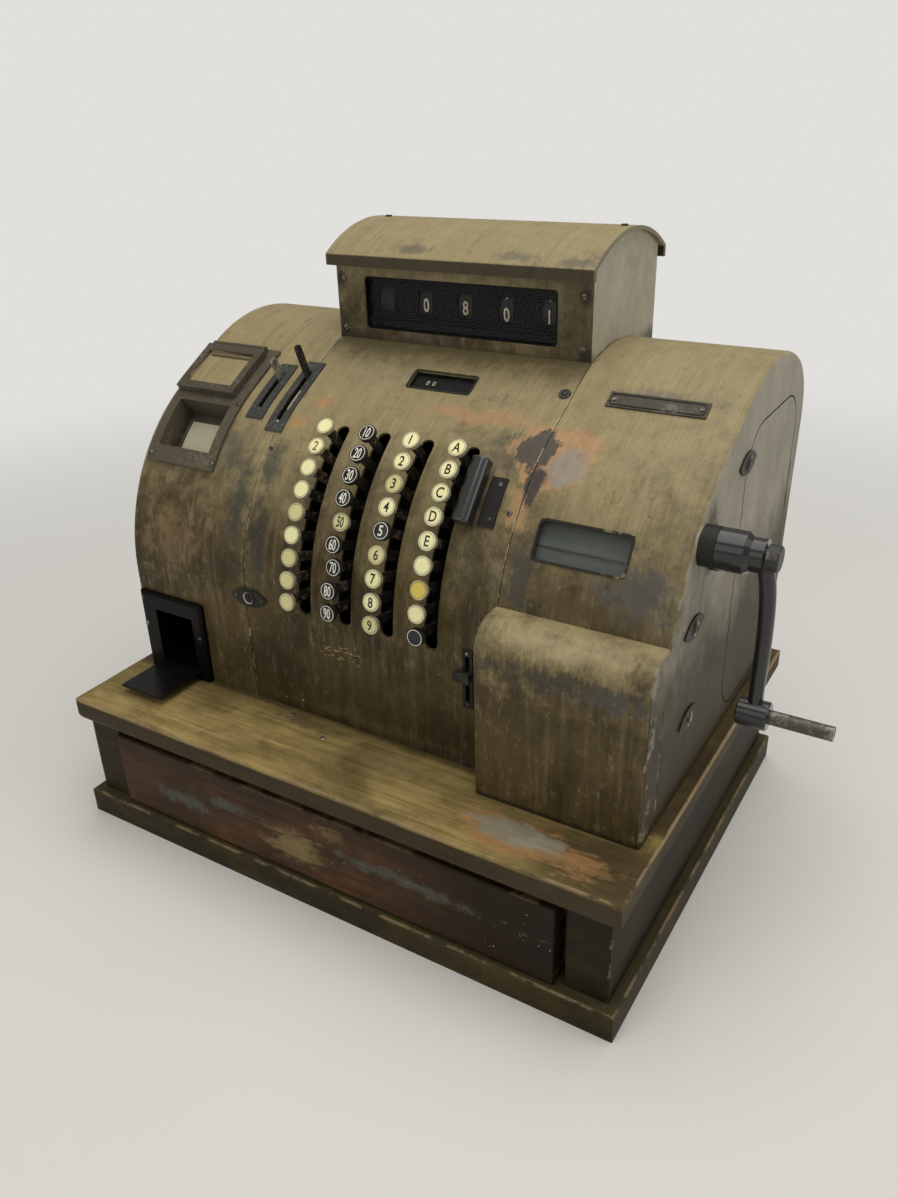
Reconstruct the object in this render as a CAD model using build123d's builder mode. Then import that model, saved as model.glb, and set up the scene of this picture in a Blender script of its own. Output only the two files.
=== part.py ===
"""Old crank-driven cash register: steel covers over a key mechanism, on a timber drawer base.

Frame: +Z up, +X to the right as seen from the front, the front faces -Y, millimetres.
The origin is the centre of the underside of the base.
"""
from build123d import *
from math import cos, degrees, radians, sin, tan
import os

os.makedirs("parts", exist_ok=True)

# ---------------------------------------------------------------- driving dimensions
# timber base
BASE_WIDTH = 580.0
BASE_DEPTH = 432.0
PLINTH_HEIGHT = 27.0
BOARD_TOP = 136.0
BOARD_THICK = 28.0
BOARD_SETBACK = 3.5          # the top board stands this far behind the plinth, front and back
BOARD_ROUND = 11.0           # rounding under the top board's edge
ARRIS = 2.0
CARCASS_INSET = 9.0          # ledge of the plinth beside the carcass
POST_WIDTH = 37.0
POST_DEPTH = 24.0
SIDE_THICK = 16.0
PANEL_THICK = 6.0

# cash drawer
DRAWER_GAP_LEFT = 4.0
DRAWER_GAP_RIGHT = 8.0
DRAWER_GAP = 1.2             # above and below the drawer front
DRAWER_FRONT_THICK = 20.0
DRAWER_PROUD = 6.0           # the drawer front stands this far out of the posts
DRAWER_WALL = 9.0
DRAWER_FLOOR = 5.0
DRAWER_BACK_GAP = 14.0
DRAWER_RIM_GAP = 12.0
RUNNER_HEIGHT = 26.0
TRAY_DEPTH = 132.0
TRAY_HEIGHT = 34.0
TRAY_CUPS = 6
TRAY_WEB = 5.0
CUP_SCOOP = (0.75, 0.28)       # middle of the cup's curved end, as shares of its depth
NOTE_BAYS = 4
RUN_CLEAR = 0.3              # running gap between pieces that slide past each other
SEAT_CLEAR = 0.1             # gap under a piece that is seated on a curve

# steel covers: one outline, cut in three along the machine
CASE_WIDTH = 555.0
CASE_FRONT = -120.5
SHEET = 2.5
CASE_ROUND = 4.0
BROW_RADIUS = 196.0          # the keyboard's curve
BROW_Z = 240.0               # where the curve starts above the straight front
ROOF_SLOPE = 29.5
ROOF_RUN = 61.0
CROWN_RADIUS = 162.0
REAR_RADIUS = 160.0
REAR_TURN = 27.0
HEEL_RADIUS = 70.0
REAR_LEAN = 3.0
SEAM = 0.8
SEAM_LEFT = -131.5
SEAM_RIGHT = 133.5

# keyboard
KEY_COLUMNS = 4
KEY_ROWS = 9
COLUMN_PITCH = 44.6
COLUMN_CENTRE = 7.0
KEY_TOP_ANGLE = 48.8
KEY_PITCH = 5.22
KEY_CAP_RADIUS = 8.0
KEY_RIM = 1.5
KEY_DISH = 0.7
KEY_CAP_THICK = 3.6
KEY_LIFT = 25.0              # cap's face above the cover
KEY_STEM = (3.4, 8.0)
STEM_END = 2.0                 # stems and bar posts reach this far below the guide plate
KEY_LATCHED = {(1, 4): 5.0, (1, 6): 5.0}
SLOT_WIDTH = 13.0
SLOT_TOP_ANGLE = 51.8
SLOT_LOW_ANGLE = 3.2
GUIDE_RADIUS = 171.0
GUIDE_THICK = 3.0
GUIDE_TOP = 57.0
GUIDE_LOW = -1.0
FRAME_PLATE = 2.5
FRAME_GAP = 6.0                # between the key frame and the two seams
FRAME_HEEL = 40.0              # the side plates reach this far behind the shaft
SHAFT_TAIL = 26.0              # the shaft ends this far beyond the short lever
SHAFT_RADIUS = 5.0
SHAFT_FIT = 0.05

# windows in the covers
GLASS_THICK = 2.0
GLASS_LAP = 4.0
PAPER_WINDOW = (154.0, 232.0, 29.0, 38.8)
COUNTER_WINDOW = (-25.0, 40.0, 69.6, 76.0)

# slip window on the left cover: frame, recess and lifting lid
SLIP_FRAME = (-270.0, -184.0, 33.8, 75.5)
SLIP_WINDOW = (-262.0, -193.0, 38.0, 54.0)
SLIP_DEPTH = 22.0
SLIP_LIP = 3.0
SLIP_FLOOR = 2.0
LID_SPAN = (-268.0, -195.0, 56.3, 73.0)
LID_THICK = 7.0
LID_BORDER = 8.0
HINGE_ANGLE = 74.15          # lid's hinge line, seen from the keyboard curve's centre
HINGE_LIFT = 3.1
HINGE_BARREL = 3.0
HINGE_PIN = 1.5
HINGE_EAR = 3.0
HINGE_INSET = 6.0
HINGE_WEB = 4.6
POCKET_LAP = 2.0               # the slip pocket's floor edge, up and down the curve
COUNTER_WELL = 6.0

# levers beside the keyboard
SHORT_LEVER_X = -163.0
SHORT_LEVER_ANGLE = 66.5
SHORT_LEVER_TRAVEL = 10.0
SHORT_LEVER_REACH = 217.0
LONG_LEVER_X = -134.0
LONG_LEVER_ANGLE = 68.5
LONG_LEVER_TRAVEL = 15.0
LONG_LEVER_REACH = 229.0
LEVER_THICK = 3.0
LEVER_PLAY = 2.0               # the slot ends this far beyond the blade
LEVER_WIDTH = 7.0
LEVER_SLOT = 5.0
LEVER_HUB = 10.0
LEVER_PLATE = 1.5
LEVER_PLATE_WIDTH = 20.0
PLATE_MARGIN = 3.5

# release bar
BAR_X = 92.0
BAR_ANGLE = 41.25
BAR_WIDTH = 16.0
BAR_LENGTH = 57.0
BAR_HEIGHT = 12.0
BAR_STANDOFF = 5.0
BAR_STEM = (6.0, 8.0)
BAR_STEM_PITCH = 30.0
BAR_PLAY = 1.0                 # round each post where it passes the cover
BAR_ROUND = 6.0                # along the bar's two long edges
BAR_END_ROUND = 2.0
BRACKET = (101.5, 116.0, 34.0, 46.5)
BRACKET_THICK = 2.0

# latch beside the printer cover
LATCH_X = 110.0
LATCH_PLATE = (10.0, 56.0)
LATCH_Z = 226.0
LATCH_SLOT = (4.0, 44.0)
LATCH_STEM = (3.0, 8.0)
LATCH_REST = 3.0
LATCH_KNOB = (16.0, 9.0, 5.0)
LATCH_ROUND = 3.0
LATCH_FOOT = (10.0, 2.0, 12.0)   # keeps the latch in its slot from behind

# printer cover at the lower right
PRINTER_FRONT = -149.5
PRINTER_LEFT = 131.0
PRINTER_TOP = 296.0
PRINTER_TOP_BACK = -100.0
PRINTER_ROUND = 26.0
PRINTER_EDGE = 3.0

# receipt chute at the lower left
CHUTE_X = (-272.0, -190.0)
CHUTE_TOP = 222.0
CHUTE_MOUTH_X = (-252.0, -203.0)
CHUTE_MOUTH_Z = (146.0, 205.0)
CHUTE_PROUD = 6.0
CHUTE_CHAMFER = 2.5
CHUTE_DEPTH = 34.0
CHUTE_WALL = 2.0
CHUTE_TRAY_REACH = 62.0
CHUTE_TRAY_LIFT = 8.0
CHUTE_TRAY_THICK = 2.0

# indicator on the roof
HOUSING_X = (-133.0, 133.0)
HOUSING_FRONT = 57.5
HOUSING_BACK = 199.5
ROOF_OPENING_MARGIN = 12.0
HOOD_OVERHANG = 10.0
HOOD_END = 4.0
HOOD_THICK = 3.5
HOOD_CREST_RISE = 93.4         # above the covers' highest line, as the next two are
HOOD_EAVE_RISE = 68.4
HOUSING_LAP = 61.6             # the housing's sides reach this far below it before the roof is cut out
HOOD_LIP = 10.0
DISPLAY_X = (-101.0, 100.0)
DISPLAY_RISE = (0.9, 48.9)
DISPLAY_ROUND = 4.0
WHEEL_COUNT = 5
WHEEL_PITCH = 42.2
WHEEL_RADIUS = 30.0
WHEEL_WIDTH = 35.0
WHEEL_CENTRE_X = 2.0
WHEEL_FRONT_GAP = 7.0
WHEEL_SHAFT = 4.0

# crank on the right end
CRANK_Y = -60.2
CRANK_Z = 359.0
CRANK_THROW = 131.0
BOSS_RADIUS = 16.0
BOSS_LENGTH = 13.0
CRANK_SHAFT = 8.0
HUB_RADIUS = 16.0
HUB_LENGTH = 24.0
COLLAR_RADIUS = 13.0
COLLAR_LENGTH = 11.0
NUT_RADIUS = 10.0
NUT_LENGTH = 9.0
HUB_CONE = 4.0                 # taper between the hub and its collar
CAP_GROOVE = 1.5               # groove between collar and nut
ARM_RADIUS = 6.5
ARM_FOOT_RADIUS = 5.5          # the arm is thinner at its eye
ARM_REACH = 4.0                # the arm hangs this far beyond the collar
ARM_BEND = 46.0                # depth over which it swings out
EYE_RADIUS = 11.5
EYE_LENGTH = 24.0
GRIP_RADIUS = 5.8
GRIP_LENGTH = 60.0

# plates screwed to the covers
NAMEPLATE = (165.0, 249.0, 71.8, 76.3)
NAMEPLATE_THICK = 1.5
ESCUTCHEON_LENGTH = 44.0
ESCUTCHEON_HEIGHT = 19.0
ESCUTCHEON_THICK = 1.6
KEYWAY_RADIUS = 6.5
FRONT_LOCK = (-126.0, 246.0)
SIDE_LOCKS = ((41.0, 391.0), (-63.5, 291.0), (-57.0, 205.0))

# arched door line and slots on the right end
DOOR_Y = (41.0, 198.0)
DOOR_Z = (148.0, 416.0)
DOOR_ROUND = 40.0
DOOR_LINE = 1.4
DOOR_LINE_DEPTH = 1.0
END_SLOTS = ((197.5, 321.0, 46.0), (201.0, 174.0, 31.0))
END_SLOT_WIDTH = 4.0

# ---------------------------------------------------------------- derived places
BOARD_WIDTH = BASE_WIDTH
BOARD_DEPTH = BASE_DEPTH - 2 * BOARD_SETBACK
BOARD_UNDER = BOARD_TOP - BOARD_THICK
CARCASS_HALF = BASE_WIDTH / 2 - CARCASS_INSET
CARCASS_FRONT = -BASE_DEPTH / 2 + CARCASS_INSET + 1.5
CARCASS_BACK = BASE_DEPTH / 2 - CARCASS_INSET
BAY_HALF = CARCASS_HALF - POST_WIDTH
CASE_HALF = CASE_WIDTH / 2
BROW_Y = CASE_FRONT + BROW_RADIUS
COLUMN_X = [COLUMN_CENTRE + COLUMN_PITCH * (c - (KEY_COLUMNS - 1) / 2) for c in range(KEY_COLUMNS)]
KEY_ANGLES = [KEY_TOP_ANGLE - KEY_PITCH * r for r in range(KEY_ROWS)]
ROOF_TURN = radians(ROOF_SLOPE)
ROOF_END_Z = BROW_Z + BROW_RADIUS * cos(ROOF_TURN) + ROOF_RUN * sin(ROOF_TURN)
COVER_TOP = ROOF_END_Z + CROWN_RADIUS * (1 - cos(ROOF_TURN))
HOOD_CREST = COVER_TOP + HOOD_CREST_RISE
HOOD_EAVE = COVER_TOP + HOOD_EAVE_RISE
DISPLAY_WINDOW = (*DISPLAY_X, COVER_TOP + DISPLAY_RISE[0], COVER_TOP + DISPLAY_RISE[1])
HOOD_FRONT = HOUSING_FRONT - HOOD_OVERHANG
HOOD_BACK = HOUSING_BACK + HOOD_OVERHANG
HOOD_MID = (HOOD_FRONT + HOOD_BACK) / 2
HOOD_HALF = (HOOD_BACK - HOOD_FRONT) / 2
HOOD_RISE = HOOD_CREST - HOOD_EAVE
HOOD_RADIUS = (HOOD_HALF**2 + HOOD_RISE**2) / (2 * HOOD_RISE)
HOOD_CENTRE_Z = HOOD_CREST - HOOD_RADIUS


def polar(radius, angle):
    """Point (y, z) at an angle up from the straight front, about the keyboard curve's centre."""
    return (BROW_Y - radius * cos(radians(angle)), BROW_Z + radius * sin(radians(angle)))


def skin_plane(x, angle, lift=0.0):
    """Plane lying on the keyboard curve, facing out, its local y running up the curve."""
    y, z = polar(BROW_RADIUS + lift, angle)
    return Plane(origin=(x, y, z), x_dir=(1, 0, 0), z_dir=(0, -cos(radians(angle)), sin(radians(angle))))


def roof_point(angle, lift):
    """Point (y, z) above the straight roof, on the line at an angle from the keyboard curve's centre."""
    radius = (BROW_RADIUS + lift) / cos(radians(angle - (90 - ROOF_SLOPE)))
    return polar(radius, angle)


def case_face(inset, bottom):
    """Outline of the covers seen from the right end, moved in by an inset, down to a height."""
    slope = radians(ROOF_SLOPE)
    turn = radians(90 - REAR_TURN)
    with BuildSketch() as section:
        with BuildLine():
            front = Line((CASE_FRONT + inset, bottom), (CASE_FRONT + inset, BROW_Z))
            CenterArc((BROW_Y, BROW_Z), BROW_RADIUS - inset, 180, ROOF_SLOPE - 90)
            roof_y = BROW_Y - BROW_RADIUS * sin(slope) + ROOF_RUN * cos(slope)
            roof_z = BROW_Z + BROW_RADIUS * cos(slope) + ROOF_RUN * sin(slope)
            crown_y = roof_y + CROWN_RADIUS * sin(slope)
            crown_z = roof_z - CROWN_RADIUS * cos(slope)
            brow_end = (BROW_Y - (BROW_RADIUS - inset) * sin(slope), BROW_Z + (BROW_RADIUS - inset) * cos(slope))
            crown = CenterArc((crown_y, crown_z), CROWN_RADIUS - inset, 90 + ROOF_SLOPE, -ROOF_SLOPE)
            Line(brow_end, crown @ 0)
            top_z = crown_z + CROWN_RADIUS
            CenterArc((crown_y, top_z - REAR_RADIUS), REAR_RADIUS - inset, 90, -REAR_TURN)
            heel_y = crown_y + (REAR_RADIUS - HEEL_RADIUS) * cos(turn)
            heel_z = top_z - REAR_RADIUS + (REAR_RADIUS - HEEL_RADIUS) * sin(turn)
            heel = CenterArc((heel_y, heel_z), HEEL_RADIUS - inset, 90 - REAR_TURN, REAR_TURN - 90 - REAR_LEAN)
            heel_end = heel @ 1
            foot = (heel_end.X - (heel_end.Y - bottom) * tan(radians(REAR_LEAN)), bottom)
            Line(heel_end, foot)
            Line(foot, front @ 0)
        make_face()
    return section.sketch


def wedge_face(low, high):
    """Sector from the keyboard curve's centre between two angles, wide enough to cut any cover."""
    reach = 2 * BROW_RADIUS
    with BuildSketch() as sector:
        with BuildLine():
            Polyline((BROW_Y, BROW_Z), polar(reach, low), polar(reach, high), close=True)
        make_face()
    return sector.sketch


def skin_band(x_low, x_high, low, high, base, top):
    """Sheet that follows the covers between two heights above them, two angles and two ends."""
    with BuildPart() as band:
        with BuildSketch(Plane.YZ.offset(x_low)):
            add(case_face(-top, BOARD_TOP))
            add(case_face(-base, BOARD_TOP - SHEET), mode=Mode.SUBTRACT)
            add(wedge_face(low, high), mode=Mode.INTERSECT)
        extrude(amount=x_high - x_low)
    return band.part


def cover_block(x_low, x_high, inset, bottom):
    """Solid between two ends with the covers' outline."""
    with BuildPart() as block:
        with BuildSketch(Plane.YZ.offset(x_low)):
            add(case_face(inset, bottom))
        extrude(amount=x_high - x_low)
    return block.part


def save(piece, name):
    """Label a finished piece and write it."""
    piece.label = name
    export_step(piece, f"parts/{name}.step")


# ---------------------------------------------------------------- timber base
with BuildPart() as plinth:
    with BuildSketch():
        Rectangle(BASE_WIDTH, BASE_DEPTH)
    extrude(amount=PLINTH_HEIGHT)
    fillet(plinth.edges().group_by(Axis.Z)[-1], ARRIS)
save(plinth.part, "plinth")

BAY_FLOOR = PLINTH_HEIGHT + PANEL_THICK
with BuildPart() as drawer_case:
    with BuildSketch(Plane.XY.offset(PLINTH_HEIGHT)):
        with Locations((0, (CARCASS_FRONT + CARCASS_BACK) / 2)):
            Rectangle(2 * CARCASS_HALF, CARCASS_BACK - CARCASS_FRONT)
    extrude(amount=BOARD_UNDER - PLINTH_HEIGHT)
    with BuildSketch(Plane.XY.offset(BAY_FLOOR)):
        with Locations((0, (CARCASS_FRONT + POST_DEPTH + CARCASS_BACK - SIDE_THICK) / 2)):
            Rectangle(2 * (CARCASS_HALF - SIDE_THICK), CARCASS_BACK - SIDE_THICK - CARCASS_FRONT - POST_DEPTH)
    extrude(amount=BOARD_UNDER - BAY_FLOOR, mode=Mode.SUBTRACT)
    with BuildSketch(Plane.XY.offset(PLINTH_HEIGHT)):
        with Locations((0, CARCASS_FRONT + POST_DEPTH / 2)):
            Rectangle(2 * BAY_HALF, POST_DEPTH)
    extrude(amount=BOARD_UNDER - PLINTH_HEIGHT, mode=Mode.SUBTRACT)
    runner_length = CARCASS_BACK - SIDE_THICK - CARCASS_FRONT - POST_DEPTH
    with BuildSketch(Plane.XY.offset(BAY_FLOOR)):
        with Locations((0, CARCASS_FRONT + POST_DEPTH + runner_length / 2)):
            with GridLocations(2 * (BAY_HALF + (POST_WIDTH - SIDE_THICK) / 2), 1, 2, 1):
                Rectangle(POST_WIDTH - SIDE_THICK, runner_length)
    extrude(amount=RUNNER_HEIGHT)
save(drawer_case.part, "drawer_case")

with BuildPart() as top_board:
    with BuildSketch(Plane.XY.offset(BOARD_UNDER)):
        Rectangle(BOARD_WIDTH, BOARD_DEPTH)
    extrude(amount=BOARD_THICK)
    fillet(top_board.edges().group_by(Axis.Z)[0], BOARD_ROUND)
    fillet(top_board.edges().group_by(Axis.Z)[-1], ARRIS)
save(top_board.part, "top_board")

# ---------------------------------------------------------------- cash drawer
FRONT_LEFT = -BAY_HALF + DRAWER_GAP_LEFT
FRONT_RIGHT = BAY_HALF - DRAWER_GAP_RIGHT
FRONT_Y = CARCASS_FRONT - DRAWER_PROUD
FRONT_BACK = FRONT_Y + DRAWER_FRONT_THICK
with BuildPart() as drawer_front:
    with BuildSketch(Plane.XY.offset(PLINTH_HEIGHT + DRAWER_GAP)):
        with Locations(((FRONT_LEFT + FRONT_RIGHT) / 2, (FRONT_Y + FRONT_BACK) / 2)):
            Rectangle(FRONT_RIGHT - FRONT_LEFT, DRAWER_FRONT_THICK)
    extrude(amount=BOARD_UNDER - PLINTH_HEIGHT - 2 * DRAWER_GAP)
    fillet(drawer_front.faces().sort_by(Axis.Y)[0].edges(), ARRIS)
save(drawer_front.part, "drawer_front")

TILL_LOW = BAY_FLOOR + RUN_CLEAR
TILL_TOP = BOARD_UNDER - DRAWER_RIM_GAP
TILL_HALF = BAY_HALF - DRAWER_GAP_RIGHT
TILL_BACK = CARCASS_BACK - SIDE_THICK - DRAWER_BACK_GAP
NOTE_FRONT = FRONT_BACK + DRAWER_WALL + TRAY_DEPTH + 2 * RUN_CLEAR
NOTE_BAY = (2 * (TILL_HALF - DRAWER_WALL) - (NOTE_BAYS - 1) * TRAY_WEB) / NOTE_BAYS
with BuildPart() as cash_drawer:
    with BuildSketch(Plane.XY.offset(TILL_LOW)):
        with Locations((0, (FRONT_BACK + TILL_BACK) / 2)):
            Rectangle(2 * TILL_HALF, TILL_BACK - FRONT_BACK)
    extrude(amount=TILL_TOP - TILL_LOW)
    with BuildSketch(Plane.XY.offset(TILL_LOW + DRAWER_FLOOR)):
        with Locations((0, FRONT_BACK + DRAWER_WALL + (TRAY_DEPTH + 2 * RUN_CLEAR) / 2)):
            Rectangle(2 * (TILL_HALF - DRAWER_WALL), TRAY_DEPTH + 2 * RUN_CLEAR)
        note_depth = TILL_BACK - DRAWER_WALL - NOTE_FRONT - TRAY_WEB
        with Locations((0, NOTE_FRONT + TRAY_WEB + note_depth / 2)):
            with GridLocations(NOTE_BAY + TRAY_WEB, 1, NOTE_BAYS, 1):
                Rectangle(NOTE_BAY, note_depth)
    extrude(amount=TILL_TOP - TILL_LOW, mode=Mode.SUBTRACT)
save(cash_drawer.part, "cash_drawer")

TRAY_WIDTH = 2 * (TILL_HALF - DRAWER_WALL - RUN_CLEAR)
CUP_WIDTH = (TRAY_WIDTH - (TRAY_CUPS + 1) * TRAY_WEB) / TRAY_CUPS
CUP_LENGTH = TRAY_DEPTH - 2 * TRAY_WEB
CUP_FLOOR = TILL_LOW + DRAWER_FLOOR + TRAY_WEB
CUP_DEEP = TRAY_HEIGHT - TRAY_WEB
TRAY_Y = FRONT_BACK + DRAWER_WALL + RUN_CLEAR + TRAY_DEPTH / 2
with BuildPart() as coin_tray:
    with BuildSketch(Plane.XY.offset(TILL_LOW + DRAWER_FLOOR)):
        with Locations((0, TRAY_Y)):
            Rectangle(TRAY_WIDTH, TRAY_DEPTH)
    extrude(amount=TRAY_HEIGHT)
    # cups with a floor that curves up to the back, so that coins can be drawn out
    with BuildSketch(Plane.YZ.offset(-CUP_WIDTH / 2)):
        with BuildLine():
            cup_front = TRAY_Y - CUP_LENGTH / 2
            cup_back = TRAY_Y + CUP_LENGTH / 2
            bottom_line = Line((cup_front, CUP_FLOOR), (cup_back - 2 * CUP_DEEP, CUP_FLOOR))
            ThreePointArc(
                bottom_line @ 1,
                (cup_back - CUP_SCOOP[0] * CUP_DEEP, CUP_FLOOR + CUP_SCOOP[1] * CUP_DEEP),
                (cup_back, CUP_FLOOR + CUP_DEEP),
            )
            Polyline((cup_back, CUP_FLOOR + CUP_DEEP), (cup_front, CUP_FLOOR + CUP_DEEP), bottom_line @ 0)
        make_face()
    cup = extrude(amount=CUP_WIDTH, mode=Mode.PRIVATE)
    with GridLocations(CUP_WIDTH + TRAY_WEB, 1, TRAY_CUPS, 1):
        add(cup, mode=Mode.SUBTRACT)
save(coin_tray.part, "coin_tray")

# ---------------------------------------------------------------- cutters shared by covers and plates
LEVERS = {
    "short_lever": (SHORT_LEVER_X, SHORT_LEVER_ANGLE, SHORT_LEVER_TRAVEL, SHORT_LEVER_REACH),
    "long_lever": (LONG_LEVER_X, LONG_LEVER_ANGLE, LONG_LEVER_TRAVEL, LONG_LEVER_REACH),
}
LEVER_HALF_ANGLE = degrees((LEVER_WIDTH / 2 + LEVER_PLAY) / BROW_RADIUS)


def lever_slot(name):
    """Cutter for the slot that a lever runs in."""
    x, angle, travel, _ = LEVERS[name]
    low = angle - travel - LEVER_HALF_ANGLE
    high = angle + LEVER_HALF_ANGLE
    return skin_band(x - LEVER_SLOT / 2, x + LEVER_SLOT / 2, low, high, -2 * SHEET, 2 * SHEET)


LATCH_BOX = Pos(LATCH_X, CASE_FRONT, LATCH_Z) * Box(LATCH_SLOT[0], 4 * SHEET, LATCH_SLOT[1])

# ---------------------------------------------------------------- left cover
with BuildPart() as left_cover:
    add(cover_block(-CASE_HALF, SEAM_LEFT - SEAM / 2, 0, BOARD_TOP))
    end_edges = left_cover.faces().sort_by(Axis.X)[0].edges().filter_by(lambda e: e.center().Z > BOARD_TOP + 1)
    fillet(end_edges, CASE_ROUND)
    add(cover_block(-CASE_HALF + SHEET, SEAM_LEFT + SEAM, SHEET, BOARD_TOP - SHEET), mode=Mode.SUBTRACT)
    add(skin_band(*SLIP_WINDOW, -2 * SHEET, SHEET), mode=Mode.SUBTRACT)
    add(lever_slot("short_lever"), mode=Mode.SUBTRACT)
    add(lever_slot("long_lever"), mode=Mode.SUBTRACT)
    chute_mid = (CHUTE_MOUTH_X[0] + CHUTE_MOUTH_X[1]) / 2
    chute_wide = CHUTE_MOUTH_X[1] - CHUTE_MOUTH_X[0] + 2 * (CHUTE_WALL + RUN_CLEAR)
    chute_low = CHUTE_MOUTH_Z[0] - CHUTE_WALL - RUN_CLEAR
    chute_high = CHUTE_MOUTH_Z[1] + CHUTE_WALL + RUN_CLEAR
    with Locations((chute_mid, CASE_FRONT, (chute_low + chute_high) / 2)):
        Box(chute_wide, 4 * SHEET, chute_high - chute_low, mode=Mode.SUBTRACT)
save(left_cover.part, "left_cover")

# ---------------------------------------------------------------- keyboard cover
BAR_HOLE = (BAR_STEM[0] + 2 * BAR_PLAY, BAR_STEM[1] + 2 * BAR_PLAY)
with BuildPart() as keyboard_cover:
    add(cover_block(SEAM_LEFT + SEAM / 2, SEAM_RIGHT - SEAM / 2, 0, BOARD_TOP))
    add(cover_block(SEAM_LEFT, SEAM_RIGHT, SHEET, BOARD_TOP - SHEET), mode=Mode.SUBTRACT)
    slot_low = SLOT_LOW_ANGLE
    slot_high = SLOT_TOP_ANGLE
    for x in COLUMN_X:
        half = SLOT_WIDTH / 2
        add(skin_band(x - half, x + half, slot_low, slot_high, -2 * SHEET, SHEET), mode=Mode.SUBTRACT)
        with Locations(skin_plane(x, slot_high), skin_plane(x, slot_low)):
            Cylinder(half, 4 * SHEET, mode=Mode.SUBTRACT)
    add(skin_band(*COUNTER_WINDOW, -COUNTER_WELL, SHEET), mode=Mode.SUBTRACT)
    add(lever_slot("long_lever"), mode=Mode.SUBTRACT)
    with Locations(skin_plane(BAR_X, BAR_ANGLE)):
        with GridLocations(1, BAR_STEM_PITCH, 1, 2):
            Box(BAR_HOLE[0], BAR_HOLE[1], 8 * SHEET, mode=Mode.SUBTRACT)
    add(LATCH_BOX, mode=Mode.SUBTRACT)
    # the number wheels reach down through the roof inside the housing
    with Locations(((HOUSING_X[0] + HOUSING_X[1]) / 2, (HOUSING_FRONT + HOUSING_BACK) / 2, BROW_Z + BROW_RADIUS)):
        opening_width = HOUSING_X[1] - HOUSING_X[0] - 2 * ROOF_OPENING_MARGIN
        opening_depth = HOUSING_BACK - HOUSING_FRONT - ROOF_OPENING_MARGIN
        Box(opening_width, opening_depth, BROW_RADIUS, mode=Mode.SUBTRACT)
save(keyboard_cover.part, "keyboard_cover")

# ---------------------------------------------------------------- right cover with the crank's boss
with BuildPart() as right_cover:
    add(cover_block(SEAM_RIGHT + SEAM / 2, CASE_HALF, 0, BOARD_TOP))
    end_edges = right_cover.faces().sort_by(Axis.X)[-1].edges().filter_by(lambda e: e.center().Z > BOARD_TOP + 1)
    fillet(end_edges, CASE_ROUND)
    add(cover_block(SEAM_RIGHT - SEAM, CASE_HALF - SHEET, SHEET, BOARD_TOP - SHEET), mode=Mode.SUBTRACT)
    add(skin_band(*PAPER_WINDOW, -2 * SHEET, SHEET), mode=Mode.SUBTRACT)
    with BuildSketch(Plane.YZ.offset(CASE_HALF - DOOR_LINE_DEPTH)):
        with BuildLine():
            door = Polyline(
                (DOOR_Y[0], DOOR_Z[0]),
                (DOOR_Y[0], DOOR_Z[1]),
                (DOOR_Y[1], DOOR_Z[1]),
                (DOOR_Y[1], DOOR_Z[0]),
                close=True,
            )
            fillet(door.vertices().group_by(Axis.Z)[-1], DOOR_ROUND)
        make_face()
        offset(amount=-DOOR_LINE, mode=Mode.SUBTRACT)
    extrude(amount=2 * DOOR_LINE_DEPTH, mode=Mode.SUBTRACT)
    for slot_y, slot_z, slot_length in END_SLOTS:
        with Locations((CASE_HALF, slot_y, slot_z)):
            Box(4 * SHEET, END_SLOT_WIDTH, slot_length, mode=Mode.SUBTRACT)
    with BuildSketch(Plane.YZ.offset(CASE_HALF - SHEET)):
        with Locations((CRANK_Y, CRANK_Z)):
            Circle(BOSS_RADIUS)
    extrude(amount=SHEET + BOSS_LENGTH)
    with BuildSketch(Plane.YZ.offset(CASE_HALF - 2 * SHEET)):
        with Locations((CRANK_Y, CRANK_Z)):
            Circle(CRANK_SHAFT + SHAFT_FIT)
    extrude(amount=BOSS_LENGTH + 4 * SHEET, mode=Mode.SUBTRACT)
save(right_cover.part, "right_cover")

# ---------------------------------------------------------------- printer cover


def printer_face(inset, bottom):
    """Outline of the printer cover seen from the right end, before the covers are cut out of it."""
    with BuildSketch() as section:
        with BuildLine():
            shape = Polyline(
                (PRINTER_FRONT + inset, bottom),
                (PRINTER_FRONT + inset, PRINTER_TOP - inset),
                (PRINTER_TOP_BACK, PRINTER_TOP - inset),
                (PRINTER_TOP_BACK, bottom),
                close=True,
            )
            corner = shape.vertices().sort_by(Axis.Y)[-2:].sort_by(Axis.X)[0]
            fillet(corner, PRINTER_ROUND - inset)
        make_face()
    return section.sketch


with BuildPart() as printer_cover:
    with BuildSketch(Plane.YZ.offset(PRINTER_LEFT)):
        add(printer_face(0, BOARD_TOP))
    extrude(amount=CASE_HALF - PRINTER_LEFT)
    printer_ends = printer_cover.faces().filter_by(Axis.X).edges()
    printer_front = [e for e in printer_ends if e.center().Y < PRINTER_TOP_BACK - 1 and e.center().Z > BOARD_TOP + 1]
    fillet(printer_front, PRINTER_EDGE)
    with BuildSketch(Plane.YZ.offset(PRINTER_LEFT + SHEET)):
        add(printer_face(SHEET, BOARD_TOP - SHEET))
    extrude(amount=CASE_HALF - PRINTER_LEFT - 2 * SHEET, mode=Mode.SUBTRACT)
    add(cover_block(PRINTER_LEFT - 1, CASE_HALF + 1, -SEAT_CLEAR, BOARD_TOP - 1), mode=Mode.SUBTRACT)
save(printer_cover.part, "printer_cover")

# ---------------------------------------------------------------- indicator housing, hood and wheels


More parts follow.
